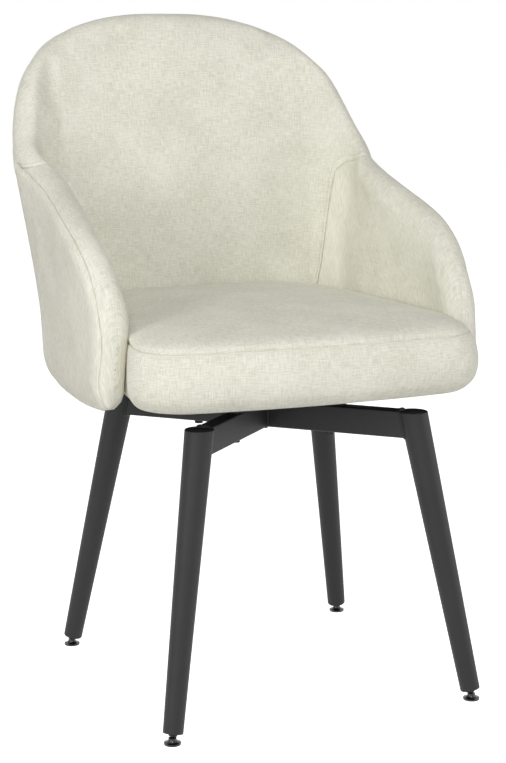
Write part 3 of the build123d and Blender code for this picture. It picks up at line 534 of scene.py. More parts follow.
def section(reach, spring, crest, hang, share):
    """The wall's upright section as (out, up) points: crest inwards, and crest outwards."""
    half, down = WALL_HALF * share, (FOOT_DOWN + hang) * share
    foot = FOOT_OUT - max(hang - FOOT_FULL, 0.0)
    lean, length, rise = atan2(reach, spring), hypot(reach, spring), crest - spring
    turns = np.linspace(0, pi / 2, 25)

    def wall(t, s):
        return np.stack([s * sin(lean) + t * cos(lean), s * cos(lean) - t * sin(lean)], -1)

    sides = []
    for sign, foot_up in ((-1, foot * FOOT_IN), (1, foot)):
        cap = wall(sign * half * np.sin(turns), length + rise * np.cos(turns))
        straight = np.linspace(length, foot_up, SIDE_POINTS + 1)[1:]
        side = wall(np.full(SIDE_POINTS, sign * half), straight)
        start = side[-1]
        roll = np.stack([start[0] * np.cos(turns[1:]),
                         start[1] - (start[1] + down) * np.sin(turns[1:])], -1)
        sides.append([cap, side, roll])
    lip_out = np.linspace(0, -FOOT_LIP * share, LIP_POINTS + 1)[1:]
    lip = np.stack([lip_out, np.full(LIP_POINTS, -down)], -1)
    return np.concatenate(sides[0]), np.concatenate([*sides[1], lip]), len(turns)


RIM = rim_table()
X_END = RIM[-1, 0]
COLUMNS, ROWS = 620, 260
COLUMN_X = np.linspace(0.0, X_END, COLUMNS)
RIM_AT = smooth(COLUMN_X, RIM[:, 0], RIM[:, 1:])
SKIN = np.zeros((2, COLUMNS, ROWS, 3))          # inside, outside
REACH = np.zeros((2, COLUMNS))                  # skin length from the crest to the end
CAP = np.zeros((2, COLUMNS))                    # and to the end of the rim's roll
CENTRE = np.zeros(COLUMNS)                      # outside length to the foot's lowest line
LOW = np.zeros(COLUMNS)                         # inside length to the top of the seat board

for column, (distance, *sizes) in enumerate(RIM_AT):
    place, out = plan_point(distance)
    inside, outside, cap_points = section(*sizes)
    for side, points in enumerate((inside, outside)):
        lengths = np.r_[0, np.cumsum(np.hypot(*np.diff(points, axis=0).T))]
        at = np.linspace(0, lengths[-1], ROWS)
        across = np.interp(at, lengths, points[:, 0])
        up = np.interp(at, lengths, points[:, 1])
        SKIN[side, column] = np.stack([place[0] + out[0] * across,
                                       place[1] + out[1] * across + AXIS_Y, BOARD_Z + up], -1)
        REACH[side, column] = lengths[-1]
        CAP[side, column] = lengths[cap_points - 1]
        if side:
            CENTRE[column] = lengths[-1 - LIP_POINTS]
        else:
            straight = slice(cap_points, cap_points + SIDE_POINTS)
            LOW[column] = np.interp(-BOARD_TOP, -points[straight, 1], lengths[straight])


SKIN[0, -1] = SKIN[1, -1]       # both sides meet at the front of the arm


def skin(x, w):
    """Points of the wall's skin in the chair's frame; x below 0 is the left side."""
    x, w = np.asarray(x, float), np.asarray(w, float)
    side = (w > 0).astype(int)
    column = np.clip(np.abs(x) / X_END * (COLUMNS - 1), 0, COLUMNS - 1.000001)
    i = column.astype(int)
    f = (column - i)[:, None]
    found = np.zeros((len(x), 3))
    for k, share in ((0, 1 - f), (1, f)):
        row = np.clip(np.abs(w) / REACH[side, i + k] * (ROWS - 1), 0, ROWS - 1.000001)
        j = row.astype(int)
        g = (row - j)[:, None]
        found += share * ((1 - g) * SKIN[side, i + k, j] + g * SKIN[side, i + k, j + 1])
    found[x < 0, 0] *= -1
    return found


def outward(x, w):
    """Unit normals of the skin, away from the padding."""
    e = 0.0006
    along = skin(x + e, w) - skin(x - e, w)
    over = skin(x, w + e) - skin(x, w - e)
    normal = np.cross(along, over)
    return normal / np.maximum(np.linalg.norm(normal, axis=1), 1e-12)[:, None]


def at_x(x, values):
    """A measure of the columns, at any x."""
    return np.interp(np.abs(x), COLUMN_X, values)


def x_of(distance):
    """x of a plan distance."""
    return float(np.interp(distance, RIM_AT[:, 0], COLUMN_X))


def curve_through(points, step):
    """Even points on a smooth curve through a few points."""
    points = np.array(points, float)
    keys = np.r_[0, np.cumsum(np.linalg.norm(np.diff(points, axis=0), axis=1))]
    count = max(2, int(round(keys[-1] / step)) + 1)
    ends = [2 * points[0] - points[1], 2 * points[-1] - points[-2]]
    p = np.vstack([ends[0], points, ends[1]])
    at = np.linspace(0, keys[-1], count)
    i = np.clip(np.searchsorted(keys, at, side="right") - 1, 0, len(keys) - 2)
    t = ((at - keys[i]) / (keys[i + 1] - keys[i]))[:, None]
    a, b, c, d = p[i], p[i + 1], p[i + 2], p[i + 3]
    return 0.5 * (2 * b + (c - a) * t + (2 * a - 5 * b + 4 * c - d) * t ** 2
                  + (3 * b - a - 3 * c + d) * t ** 3)


# The covers are sewn from four pieces. The welt, between inner and outer covers, follows the
# rim's outer edge and turns down the front of each arm. The back's seam crosses the rim where
# the arm begins and runs down the inside corner.
EDGE_STEP = 0.005
WELT_BACK = 0.85            # place on the rim's outer roll: 0 at the crest, 1 where it ends
WELT_ARM = 0.5
WELT_FRONT = [(0.085, 0.56), (0.094, 0.68), (0.1005, 0.88)]     # ahead of the axis, the same
WELT_DOWN = [(0.1035, 0.012), (0.1035, 0.030), (0.1020, 0.055), (0.1005, 0.080)]   # below it
BACK_SEAM = [               # plan distance from the back's middle, w
    (0.174, -0.345), (0.176, -0.330), (0.181, -0.286), (0.187, -0.203), (0.192, -0.135),
    (0.197, -0.104), (0.206, -0.067), (0.222, -0.032), (0.2335, 0.0)]


def welt():
    """The welt on the right side, from the back's middle to the bottom of the arm's front."""
    top_x = np.arange(0.0, x_of(plan_of(0.080)), EDGE_STEP)
    share = np.interp(top_x, [0.0, x_of(0.19), x_of(0.30), x_of(plan_of(0.02)), X_END],
                      [WELT_BACK, 0.72, 0.62, WELT_ARM, WELT_ARM])
    top = list(zip(top_x, share * at_x(top_x, CAP[1])))
    front = []
    for ahead, share in WELT_FRONT:
        x = x_of(plan_of(ahead))
        front.append((x, share * at_x(x, CAP[1])))
    for ahead, below in WELT_DOWN:
        x = x_of(plan_of(ahead))
        front.append((x, at_x(x, CAP[1]) + below))
    last = x_of(plan_of(0.0985))
    front.append((last, at_x(last, CENTRE)))
    bend = curve_through([top[-2], top[-1], *front], EDGE_STEP)
    return np.vstack([top[:-2], bend])


WELT = welt()


def back_seam():
    """The seam between inner back and arm on the right side, from the seat board to the welt."""
    points = [(x_of(distance), w) for distance, w in BACK_SEAM]
    end_x = x_of(0.2215)
    points += [(x_of(0.230), 0.018), (end_x, float(np.interp(end_x, WELT[:, 0], WELT[:, 1])))]
    curve = curve_through(points, EDGE_STEP)
    return curve[curve[:, 1] > -at_x(curve[:, 0], LOW)]


SEAM = back_seam()


def flipped(points):
    """The same line on the left side, in reverse order."""
    return (points * [-1, 1])[::-1]


def line_along(x_from, x_to, height):
    """Points along the wall at a measure that depends on x."""
    x = np.linspace(x_from, x_to, max(2, int(abs(x_to - x_from) / EDGE_STEP) + 1))
    return np.stack([x, height(x)], 1)


# ------------------------------------------------------------------------------- cut and sew
# Each cover piece is a sheet of cloth on foam: a mesh over its own outline, with close rows
# beside the seams. A seam draws the cloth into a groove, and a row of top-stitching runs beside
# it on one of the two pieces.
ROWS_BESIDE = (0.0006, 0.0013, 0.0022, 0.0033, 0.0042, 0.0051, 0.0070)
CLOTH_CELL = 0.0065
CLOTH_THICK = 0.005
STITCH_ASIDE = 0.0042       # top-stitching beside the seam
STITCH_PITCH = 0.0048
STITCH_LONG = 0.0036
STITCH_SIDES = 6
THREAD_R = 0.00032
VALLEY = (0.0018, 0.014)    # soft dip of the padding at a seam: depth, half width
GROOVE = (0.0019, 0.0009)   # and the sharp groove in its middle
CHANNEL = (0.0009, 0.0009)  # dip under the top-stitching
WALL_PULL = 0.6             # the wall's seams are drawn in less than the seat's


def distance_to(points, line):
    """Shortest distance from each point to a line of points."""
    best = np.full(len(points), 1e9)
    for a, b in zip(line, line[1:]):
        ab = b - a
        t = np.clip(((points - a) @ ab) / max(ab @ ab, 1e-18), 0, 1)
        best = np.minimum(best, np.linalg.norm(points - a - t[:, None] * ab, axis=1))
    return best


def within(points, ring):
    """Which points lie inside a closed outline."""
    x, y = points.T
    found = np.zeros(len(points), bool)
    for (ax, ay), (bx, by) in zip(ring, np.roll(ring, -1, axis=0)):
        crosses = (ay > y) != (by > y)
        found ^= crosses & (x < (bx - ax) * (y - ay) / (by - ay + 1e-18) + ax)
    return found


def beside(line, offset):
    """The same flat line, moved sideways; to its left where the offset is above 0."""
    step = np.gradient(line, axis=0)
    aside = np.stack([-step[:, 1], step[:, 0]], 1) / np.linalg.norm(step, axis=1)[:, None]
    return line + offset * aside


def cut(ring, seams, cell):
    """Triangles over a flat outline, with rows of points beside its seams."""
    rows = []
    for seam in seams:
        for offset in ROWS_BESIDE:
            for row in (beside(seam, offset), beside(seam, -offset)):
                row = row[within(row, ring)]
                if len(row):
                    away = np.min([distance_to(row, s) for s in seams], axis=0)
                    rows.append(row[away > 0.9 * offset])
    low, high = ring.min(0), ring.max(0)
    grid = np.stack(np.meshgrid(np.arange(low[0], high[0], cell),
                                np.arange(low[1], high[1], cell), indexing="ij"), -1)
    grid[:, 1::2, 0] += cell / 2
    grid = grid.reshape(-1, 2)
    grid = grid[within(grid, ring)]
    grid = grid[distance_to(grid, np.vstack([ring, ring[:1]])) > 0.55 * cell]
    away = np.min([distance_to(grid, s) for s in seams], axis=0)
    grid = grid[away > ROWS_BESIDE[-1] + 0.5 * cell]
    points = np.vstack([ring, *rows, grid])
    found = delaunay_2d_cdt([Vector(p) for p in points], [], [list(range(len(ring)))], 1, 1e-7)
    return np.array([tuple(p) for p in found[0]]), [list(face) for face in found[2]]


def drawn_in(away, stitched, pull):
    """How deep the sewing pulls the cloth in, this far from a seam."""
    depth = VALLEY[0] * np.clip(1 - away / VALLEY[1], 0, 1) ** 2
    depth += GROOVE[0] * np.exp(-(away / GROOVE[1]) ** 2)
    depth += stitched * CHANNEL[0] * np.exp(-((away - STITCH_ASIDE) / CHANNEL[1]) ** 2)
    return pull * depth


def joined(points, faces):
    """Points at the same place made one: which points to keep, and the faces on them."""
    _, first, same = np.unique(np.round(points, 5), axis=0, return_index=True,
                               return_inverse=True)
    same = same.ravel()
    found = [list(dict.fromkeys(int(same[v]) for v in face)) for face in faces]
    return first, [face for face in found if len(face) > 2]


def wrapped(flat):
    """The same points, with the inside's front and foot edges put on those of the outside."""
    x, w = np.abs(flat[:, 0]), flat[:, 1].copy()
    end, centre, reach = x > X_END - 1e-6, at_x(x, CENTRE), at_x(x, REACH[0])
    w[end & (w < 0)] *= -(centre / reach)[end & (w < 0)]
    foot = (x > WELT[-1, 0] - 1e-6) & (np.abs(w + reach) < 1e-6)
    w[foot] = centre[foot]
    return np.stack([flat[:, 0], w], 1)


def only(piece):
    """Make one piece the selected and active object."""
    bpy.ops.object.select_all(action="DESELECT")
    piece.select_set(True)
    bpy.context.view_layer.objects.active = piece


def new_piece(name, points, faces):
    """A smooth linen piece from points and faces."""
    mesh = bpy.data.meshes.new(name)
    mesh.from_pydata([tuple(p) for p in points], [], faces)
    mesh.update()
    piece = bpy.data.objects.new(name, mesh)
    bpy.context.scene.collection.objects.link(piece)
    mesh.materials.append(LINEN)
    only(piece)
    bpy.ops.object.shade_smooth()
    return piece


def points_of(piece):
    found = np.zeros(len(piece.data.vertices) * 3)
    piece.data.vertices.foreach_get("co", found)
    return found.reshape(-1, 3)


def normals_of(piece):
    found = np.zeros(len(piece.data.vertices) * 3)
    piece.data.vertices.foreach_get("normal", found)
    return found.reshape(-1, 3)


def move_points(piece, points):
    piece.data.vertices.foreach_set("co", points.ravel())
    piece.data.update()


SWELL_FRAMES = 20
HELD_WITHIN = 0.010         # the cloth is fast this near a seam
FREE_BEYOND = 0.035         # and quite free from here


def swell(piece, away, pressure, most):
    """Let the foam press out against its cover, which the seams hold: cloth under pressure."""
    start = points_of(piece)
    grip = np.clip((FREE_BEYOND - away) / (FREE_BEYOND - HELD_WITHIN), 0, 1)
    held = piece.vertex_groups.new(name="held")
    for index, weight in enumerate(grip):
        held.add([index], float(weight), "REPLACE")
    only(piece)
    cloth = piece.modifiers.new("cover", "CLOTH")
    feel = cloth.settings
    feel.quality = 6
    feel.mass = 0.4
    feel.tension_stiffness = feel.compression_stiffness = 30
    feel.shear_stiffness = 20
    feel.bending_stiffness = 8
    feel.vertex_group_mass = "held"
    feel.use_pressure = True
    feel.uniform_pressure_force = pressure
    feel.effector_weights.gravity = 0
    cloth.point_cache.frame_start = 1
    cloth.point_cache.frame_end = SWELL_FRAMES
    for number in range(1, SWELL_FRAMES + 1):
        bpy.context.scene.frame_set(number)
    bpy.ops.object.modifier_apply(modifier="cover")
    bpy.context.scene.frame_set(1)
    piece.vertex_groups.clear()
    move = points_of(piece) - start
    size = np.linalg.norm(move, axis=1)
    move *= (most * np.tanh(size / most) / np.maximum(size, 1e-9))[:, None]
    free = 1 - grip
    move_points(piece, start + move * (free * free * (3 - 2 * free))[:, None])


def lay_cloth_map(piece):
    """Flatten the piece as its pattern was cut, in real metres, with the warp upright."""
    only(piece)
    mesh = piece.data
    mesh.uv_layers.new(name=CLOTH_MAP)
    bpy.ops.object.mode_set(mode="EDIT")
    bpy.ops.mesh.select_all(action="SELECT")
    bpy.ops.uv.unwrap(method="ANGLE_BASED", margin=0.0)
    bpy.ops.object.mode_set(mode="OBJECT")
    corners = np.zeros(len(mesh.loops), int)
    mesh.loops.foreach_get("vertex_index", corners)
    flat = np.zeros(len(mesh.loops) * 2)
    mesh.uv_layers[CLOTH_MAP].data.foreach_get("uv", flat)
    flat = flat.reshape(-1, 2)
    height = points_of(piece)[corners, 2]
    fit = np.linalg.lstsq(np.c_[flat, np.ones(len(flat))], height, rcond=None)[0]
    up = fit[:2] / np.linalg.norm(fit[:2])
    flat = np.stack([flat @ [up[1], -up[0]], flat @ up], 1)
    real = drawn = 0.0
    for face in mesh.polygons:
        a, b, c = [flat[i] for i in list(face.loop_indices)[:3]]
        real += face.area
        drawn += abs((b[0] - a[0]) * (c[1] - a[1]) - (b[1] - a[1]) * (c[0] - a[0])) / 2
    flat *= (real / drawn) ** 0.5
    mesh.uv_layers[CLOTH_MAP].data.foreach_set("uv", flat.ravel())


def lay_map_along(piece, flat):
    """The cloth map as the wall's own measures, for a piece that wraps round an arm's front."""
    mesh = piece.data
    layer = mesh.uv_layers.new(name=CLOTH_MAP).data
    at_tip = np.abs(flat[:, 0]) > X_END - 1e-6
    for face in mesh.polygons:
        side = np.sign(sum(flat[v, 1] for v in face.vertices if not at_tip[v]))
        for loop in face.loop_indices:
            vertex = mesh.loops[loop].vertex_index
            x, w = flat[vertex]
            layer[loop].uv = (x, side * abs(w) if at_tip[vertex] else w)


def soften(piece, weights, rounds):
    """Move each point towards the middle of its neighbours, as far as its weight says."""
    ends = np.zeros(len(piece.data.edges) * 2, int)
    piece.data.edges.foreach_get("vertices", ends)
    a, b = ends.reshape(-1, 2).T
    count = np.bincount(np.r_[a, b], minlength=len(weights))[:, None]
    points = points_of(piece)
    for _ in range(rounds):
        middle = np.zeros_like(points)
        np.add.at(middle, a, points[b])
        np.add.at(middle, b, points[a])
        points += 0.5 * weights[:, None] * (middle / count - points)
    move_points(piece, points)


def upholster(piece, fill, *nodes):
    """Fix a padded piece to the seat in place of its CAD nodes."""
    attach(piece, "seat")
    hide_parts(*nodes)


NOSE = 0.03                 # the padding is smoothed this far round the front of an arm
NOSE_CLEAR = (0.004, 0.006) # but not within this of a seam; and fully this much further on
NOSE_ROUNDS = 6


def sew_panel(name, ring, seams, stitched, pressure, most, cell=CLOTH_CELL):
    """Cut a cover piece, swell it, draw its seams in and give it its thickness.

    Seams are lines in (x, w), and stitched are those with top-stitching on this piece.
    """
    flat, faces = cut(ring, seams, cell)
    keep, faces = joined(skin(*wrapped(flat).T), faces)
    flat = flat[keep]
    x, w = flat.T
    piece = new_piece(name, skin(x, w), faces)
    away = np.min([distance_to(flat, seam) for seam in seams], axis=0)
    if most:
        swell(piece, away, pressure, most)
    nose = np.clip((np.abs(x) - X_END + NOSE) / NOSE, 0, 1)
    nose *= np.clip((away - NOSE_CLEAR[0]) / NOSE_CLEAR[1], 0, 1)
    if nose.any():
        soften(piece, nose, NOSE_ROUNDS)
    rows = np.zeros(len(flat))
    if stitched:
        near = np.min([distance_to(flat, seam) for seam in stitched], axis=0)
        rows[near < away + 1e-6] = 1.0
    depth = drawn_in(away, rows, WALL_PULL)
    move_points(piece, points_of(piece) - outward(x, w) * depth[:, None])
    if nose.any():
        lay_map_along(piece, flat)
    else:
        lay_cloth_map(piece)
    thick = piece.modifiers.new("thickness", "SOLIDIFY")
    thick.thickness = CLOTH_THICK
    thick.offset = -1
    bpy.ops.object.modifier_apply(modifier="thickness")
    return piece


def ring_faces(rings, count, first=0):
    """Faces that join each ring of points to the next."""
    return [[first + k * count + i, first + k * count + (i + 1) % count,
             first + (k + 1) * count + (i + 1) % count, first + (k + 1) * count + i]
            for k in range(rings - 1) for i in range(count)]


def stitch_row(name, points, normals):
    """Top-stitching: one short bulged thread after another along a line on the cloth."""
    length = np.r_[0, np.cumsum(np.linalg.norm(np.diff(points, axis=0), axis=1))]
    starts = np.arange(0.001, length[-1] - STITCH_PITCH, STITCH_PITCH)
    rings = ((0.0, 0.15, -0.3), (0.12, 0.9, 0.4), (0.5, 1.1, 0.75), (0.88, 0.9, 0.4),
             (1.0, 0.15, -0.3))      # place along the stitch, thickness, height
    places, faces = [], []
    for start in starts:
        ends = [np.array([np.interp(start + d, length, points[:, k]) for k in range(3)])
                for d in (0.0, STITCH_LONG)]
        up = np.array([np.interp(start, length, normals[:, k]) for k in range(3)])
        run = ends[1] - ends[0]
        side = np.cross(up, run)
        side /= np.linalg.norm(side)
        first = len(places)
        for share, thick, high in rings:
            middle = ends[0] + run * share + up * (THREAD_R * high)
            for turn in np.linspace(0, 2 * pi, STITCH_SIDES, endpoint=False):
                places.append(middle + THREAD_R * thick * (side * cos(turn) + up * sin(turn)))
        last = first + (len(rings) - 1) * STITCH_SIDES
        faces += ring_faces(len(rings), STITCH_SIDES, first)
        faces.append([first + k for k in range(STITCH_SIDES)][::-1])
        faces.append([last + k for k in range(STITCH_SIDES)])
    row = new_piece(name, places, faces)
    row.data.materials[0] = THREAD
    only(row)
    bpy.ops.object.mode_set(mode="EDIT")
    bpy.ops.mesh.select_all(action="SELECT")
    bpy.ops.mesh.normals_make_consistent(inside=False)
    bpy.ops.object.mode_set(mode="OBJECT")
    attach(row, "seat")
    return row


def thread():
    """Bonded polyester thread, a shade darker than the cloth, with a slight shine."""
    material = new_material("bonded_polyester_thread")
    place = add(material, "TexCoord").outputs["Object"]
    twist = add(material, "TexNoise", {"Vector": place, "Scale": 2500.0}).outputs["Fac"]
    tone = add(material, "Mix", {0: twist, 6: linear("#A9A797"), 7: linear("#CFCDBD")},
               data_type="RGBA")
    return finish(material, Base_Color=tone.outputs[2], Roughness=0.55)


THREAD = thread()


def stitch_wall(name, line, offset):
    """Top-stitching beside a seam of the wall."""
    row = beside(line, offset)
    x, w = row.T
    up = outward(x, w)
    depth = float(drawn_in(STITCH_ASIDE, 1.0, WALL_PULL))
    return stitch_row(name, skin(x, w) - up * depth, up)


# ------------------------------------------------------------------------------- inner back
# The pad the sitter leans on: foam over the bent core, in one piece of cloth from the seat up
# and over the rim to the welt behind. Its sides are top-stitched beside the arms' seams.
def inner_back():
    foot_x = SEAM[0, 0]
    foot = line_along(-foot_x, foot_x, lambda x: -at_x(x, LOW))
    top = WELT[WELT[:, 0] < SEAM[-1, 0] - EDGE_STEP / 2]
    over = np.vstack([top[::-1], (top * [-1, 1])[1:]])
    ring = np.vstack([foot[:-1], SEAM, over, flipped(SEAM)[:-1]])
    edge = np.vstack([SEAM[-1:], over, flipped(SEAM)[:1]])
    cover = sew_panel("inner_back_cover", ring, [SEAM, edge, flipped(SEAM)],
                      [SEAM, flipped(SEAM)], 2.0, 0.004)
    upholster(cover, 0.75, "inner_back_pad")
    stitch_wall("back_stitches_right", SEAM, STITCH_ASIDE)
    stitch_wall("back_stitches_left", flipped(SEAM), STITCH_ASIDE)


inner_back()


# ------------------------------------------------------------------------------- inner arms
# Each arm's cloth runs from the back's seam over the rim to the welt, and wraps the rounded
# front of the arm down to its foot.
ARM_CELL = 0.005            # closer points for the tight curve of the arm's front
TIP_POINTS = 26             # points up the arm's front edge, on either side


def inner_arm(side_name, sign):
    bottom_x, front_x = WELT[-1, 0], x_of(plan_of(COVER_FRONT))
    along = np.vstack([SEAM[-1:], WELT[WELT[:, 0] > SEAM[-1, 0] + EDGE_STEP / 2]])
    under = line_along(bottom_x, X_END, lambda x: at_x(x, CENTRE))[1:]
    half = np.linspace(1, 0, TIP_POINTS)
    tip_w = np.r_[half * at_x(X_END, CENTRE), (-half[::-1] * at_x(X_END, REACH[0]))[1:]]
    tip = np.stack([np.full(len(tip_w), X_END), tip_w], 1)
    back_x = np.r_[under[-2::-1, 0], bottom_x, front_x]     # the same places as outside
    back_under = np.stack([back_x, -at_x(back_x, REACH[0])], 1)
    foot = line_along(front_x, SEAM[0, 0], lambda x: -at_x(x, LOW))
    ring = np.vstack([SEAM[:-1], along, under[:-1], tip, back_under, foot[:-1]])
    ring, seams = ring * [sign, 1], [SEAM * [sign, 1], along * [sign, 1]]
    if sign < 0:
        ring = ring[::-1]
    cover = sew_panel(f"inner_arm_cover_{side_name}", ring, seams, [], 1.5, 0.002, ARM_CELL)
    upholster(cover, 0.75, f"inner_arm_pad_{side_name}", f"arm_front_pad_{side_name}")


inner_arm("right", 1)
inner_arm("left", -1)


# ------------------------------------------------------------------------------- outer cover
# One piece of cloth round the outside, over thin foam, from the welt down to the foot, where
# it is turned in and stapled under the seat board. It is top-stitched along the welt.
def outer_cover():
    front_x = x_of(plan_of(COVER_FRONT))
    lip = line_along(0.0, front_x, lambda x: at_x(x, REACH[1]))
    half = np.vstack([lip[1:], WELT[::-1]])
    left = (half * [-1, 1])[::-1]
    ring = np.vstack([lip[:1], half[:-1], left[:-1]])
    seam = np.vstack([WELT[::-1], (WELT * [-1, 1])[1:]])
    cover = sew_panel("outer_shell_cover", ring, [seam], [seam], 0.0, 0.0)
    upholster(cover, 0.85, "outer_cover")
    stitch_wall("welt_stitches", seam, STITCH_ASIDE)


outer_cover()


# ------------------------------------------------------------------------------- seat cushion
# A block of foam in a boxed cover: a band round its sides, and a top panel sewn to it with one
# row of top-stitching. It lies between the arms, swells in front of them, and hangs a little
# over the front of the seat board. Its rear leans back with the wall.
SEAT_HALF = 0.232           # half width ahead of the arms
SEAT_FRONT = 0.209
SEAT_BOW = 0.012
SEAT_CORNER_R = 0.063
SEAT_NECK = 0.030           # from the widest part back to where it lies between the arms
NECK_GAP = 0.0005
SIDE_GAP = 0.0015
CUSHION_LEAN = 0.27
CUSHION_HANG = 0.006        # its front hangs this far below the board's underside
SEAM_UP = 0.068             # height of the stitched edge above the board's underside
BAND = [                    # height above the board's underside, inset at front, sides, rear
    (-CUSHION_HANG, 0.0170, 0.0170, 0.0170), (-0.003, 0.0125, 0.0125, 0.0125),
    (0.002, 0.0080, 0.0080, 0.0080), (0.010, 0.0030, 0.0030, 0.0030),
    (0.024, 0.0, 0.0, 0.0), (0.039, 0.0003, 0.0003, 0.0003),
    (0.056, 0.0035, 0.0020, 0.0015), (SEAM_UP, 0.0085, 0.0045, 0.0030)]
TOP = [                     # the top panel from the seam inwards: the same
    (SEAM_UP, 0.0085, 0.0045, 0.0030), (0.0728, 0.013, 0.0050, 0.0010),
    (0.0781, 0.022, 0.0075, 0.0), (0.0829, 0.038, 0.020, -0.003), (0.0870, 0.062, 0.044, -0.004),
    (0.0901, 0.098, 0.080, -0.001), (0.0920, 0.148, 0.132, 0.030), (0.0922, 0.178, 0.180, 0.080)]
BOARD_INSET = 0.024
HANG_FROM = (0.062, 0.072)  # the band reaches below the board only ahead of these places
BAND_HELD = 0.008           # the band's lowest part, which doesn't swell
ON_BOARD = 0.0005           # the cushion's rear lies this far above the board


def arc(start, middle, end, count):
    """Points on the circle through three points, without the last one."""
    a, b, c = (complex(*p) for p in (start, middle, end))
    w = (c - a) / (b - a)
    centre = (b - a) * (w - abs(w) ** 2) / (w - w.conjugate()) + a
    turn = np.angle((c - centre) / (a - centre))
    by_middle = np.angle((b - centre) / (a - centre))
    if turn * by_middle < 0:
        turn -= 2 * pi * np.sign(turn)
    points = centre + (a - centre) * np.exp(1j * turn * np.linspace(0, 1, count, endpoint=False))
    return np.stack([points.real, points.imag], 1)


def run(start, end, count):
    """Points on a straight run, without the last one."""
    return np.array(start) + np.linspace(0, 1, count, endpoint=False)[:, None] * np.subtract(
        end, start)


def seat_loop(front_in, side_in, rear_in):
    """Plan of the cushion about the swivel axis, from the middle of its front, rightwards."""
    half, front = SEAT_HALF - front_in, SEAT_FRONT - front_in
    front_side = front - SEAT_BOW
    corner = max(SEAT_CORNER_R - front_in / 2, 0.010)
    neck = front_side - corner - SEAT_NECK
    rear_half = ARM_HALF_REAR - WALL_HALF - SIDE_GAP - side_in
    rear_r = max(CORNER_R - WALL_HALF - SIDE_GAP - side_in / 3, 0.012)
    rear = BACK_FOOT - WALL_HALF - SIDE_GAP - rear_in
    part = 1 - 0.5 ** 0.5
    bow_end = (half - corner, -0.045 * corner - front_side)
    side = (half, corner - front_side)
    corner_mid = (half - corner * part, corner * (part - 0.03) - front_side)
    neck_at = (arm_half(neck) - WALL_HALF - NECK_GAP - max(side_in - 0.004, 0.2 * side_in), -neck)
    rear_side = (rear_half, rear - rear_r)
    rear_mid = (rear_half - rear_r * part, rear - rear_r * part)
    rear_end = (rear_half - rear_r, rear)
    right = np.vstack([arc((-bow_end[0], bow_end[1]), (0, -front), bow_end, 48)[24:],
                       arc(bow_end, corner_mid, side, 18), run(side, neck_at, 8),
                       run(neck_at, rear_side, 40), arc(rear_side, rear_mid, rear_end, 14),
                       run(rear_end, (0, rear), 26), [(0, rear)]])
    loop = np.vstack([right, (right[1:-1] * [-1, 1])[::-1]])
    for _ in range(6):
        loop = (np.roll(loop, 1, 0) + 2 * loop + np.roll(loop, -1, 0)) / 4
    return loop


def seat_ring(up, front_in, side_in, rear_in):
    """A level of the cushion in the chair's frame."""
    loop = seat_loop(front_in, side_in, rear_in - up * CUSHION_LEAN)
    ahead = np.clip((-loop[:, 1] - HANG_FROM[0]) / (HANG_FROM[1] - HANG_FROM[0]), 0, 1)
    rest = BOARD_TOP + ON_BOARD
    lowest = rest + (-CUSHION_HANG - rest) * ahead
    return np.c_[loop[:, 0], loop[:, 1] + AXIS_Y, BOARD_Z + np.maximum(up, lowest)]


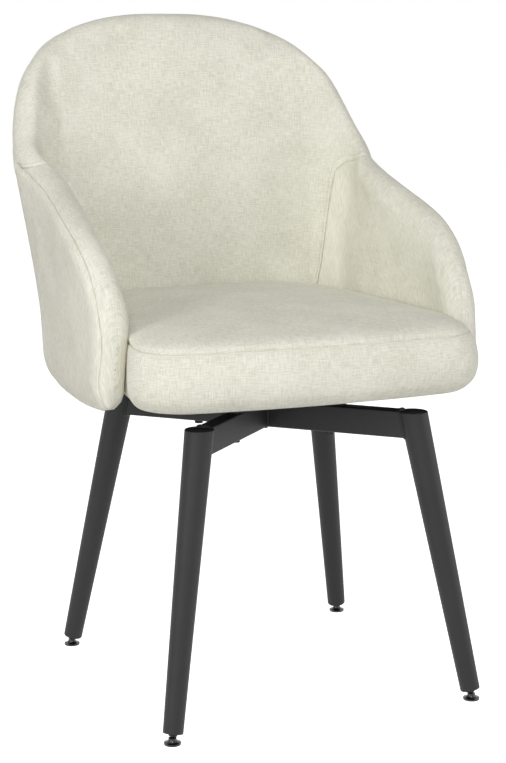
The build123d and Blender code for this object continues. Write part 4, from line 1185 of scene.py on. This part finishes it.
def seat_cushion():
    band = curve_through(BAND, 0.0035)
    near = curve_through(BAND, 0.0002)
    below = np.linalg.norm(near[-1, :2] - near[:, :2], axis=1)
    band = band[np.linalg.norm(band[-1, :2] - band[:, :2], axis=1) > 0.009]
    band = np.vstack([band, [near[np.argmin(abs(below - offset))]
                             for offset in (*ROWS_BESIDE[::-1], 0.0)]])
    inside = [(-CUSHION_HANG, *[BOARD_INSET - 0.002] * 3), (0.0, *[BOARD_INSET - 0.0004] * 3)]
    rings = [seat_ring(*level) for level in (*inside[::-1], *band)]
    count = len(rings[0])
    side_faces = ring_faces(len(rings), count)
    bottom = [list(range(count))[::-1]]
    crown = [seat_ring(*level) for level in curve_through(TOP, 0.006)]
    crown_faces = ring_faces(len(crown), count)
    last = (len(crown) - 1) * count
    crown_faces.append([last + i for i in range(count)])
    tree = BVHTree.FromPolygons([Vector(p) for p in np.vstack(crown)], crown_faces)
    seam = rings[-1]
    ring = seam[:, :2]
    closed = np.vstack([ring, ring[:1]])
    flat, top_faces = cut(ring, [closed], CLOTH_CELL)
    height = np.full(len(flat), seam[0, 2])
    for number, (x, y) in enumerate(flat[count:], count):
        hit = tree.ray_cast(Vector((x, y, 2.0)), Vector((0, 0, -1)))[0]
        height[number] = hit.z if hit else seam[0, 2]
    first = (len(rings) - 1) * count
    index = np.r_[first + np.arange(count), first + np.arange(count, len(flat))]
    points = np.vstack([*rings, np.c_[flat, height][count:]])
    faces = bottom + side_faces + [[int(index[v]) for v in face] for face in top_faces]
    cushion = new_piece("seat_cushion_cover", points, faces)
    mesh = cushion.data
    seam_line = np.vstack([seam, seam[:1]])
    away = distance_to(points, seam_line)
    free = np.minimum(away, np.maximum(points[:, 2] - BOARD_Z - BAND_HELD, 0) * 1.6)
    swell(cushion, np.where(np.arange(len(points)) < first, free, away), 3.5, 0.007)
    on_top = (np.arange(len(points)) >= first).astype(float)
    depth = drawn_in(away, on_top, 1.0)
    move_points(cushion, points_of(cushion) - normals_of(cushion) * depth[:, None])
    layer = mesh.uv_layers.new(name=CLOTH_MAP).data
    around = np.r_[0, np.cumsum(np.linalg.norm(np.diff(seam_line, axis=0), axis=1))]
    for face in mesh.polygons:
        for loop_index in face.loop_indices:
            vertex = mesh.loops[loop_index].vertex_index
            place = points[vertex]
            if face.index < len(bottom) or face.index >= len(bottom) + len(side_faces):
                layer[loop_index].uv = (place[0], place[1])
                continue
            turn = vertex % count
            if turn == 0 and max(mesh.loops[i].vertex_index % count
                                 for i in face.loop_indices) > count / 2:
                turn = count
            layer[loop_index].uv = (around[turn], place[2] + 1.0)
    upholster(cushion, 0.9, "seat_cushion")
    row = beside(closed, STITCH_ASIDE)
    heights = [tree.ray_cast(Vector((x, y, 2.0)), Vector((0, 0, -1))) for x, y in row]
    line = np.array([(x, y, hit[0].z) for (x, y), hit in zip(row, heights)])
    up = np.array([tuple(hit[1]) for hit in heights])
    up *= np.sign(up[:, 2])[:, None]
    depth = float(drawn_in(STITCH_ASIDE, 1.0, 1.0))
    stitch_row("seat_stitches", line - up * depth, up)


seat_cushion()
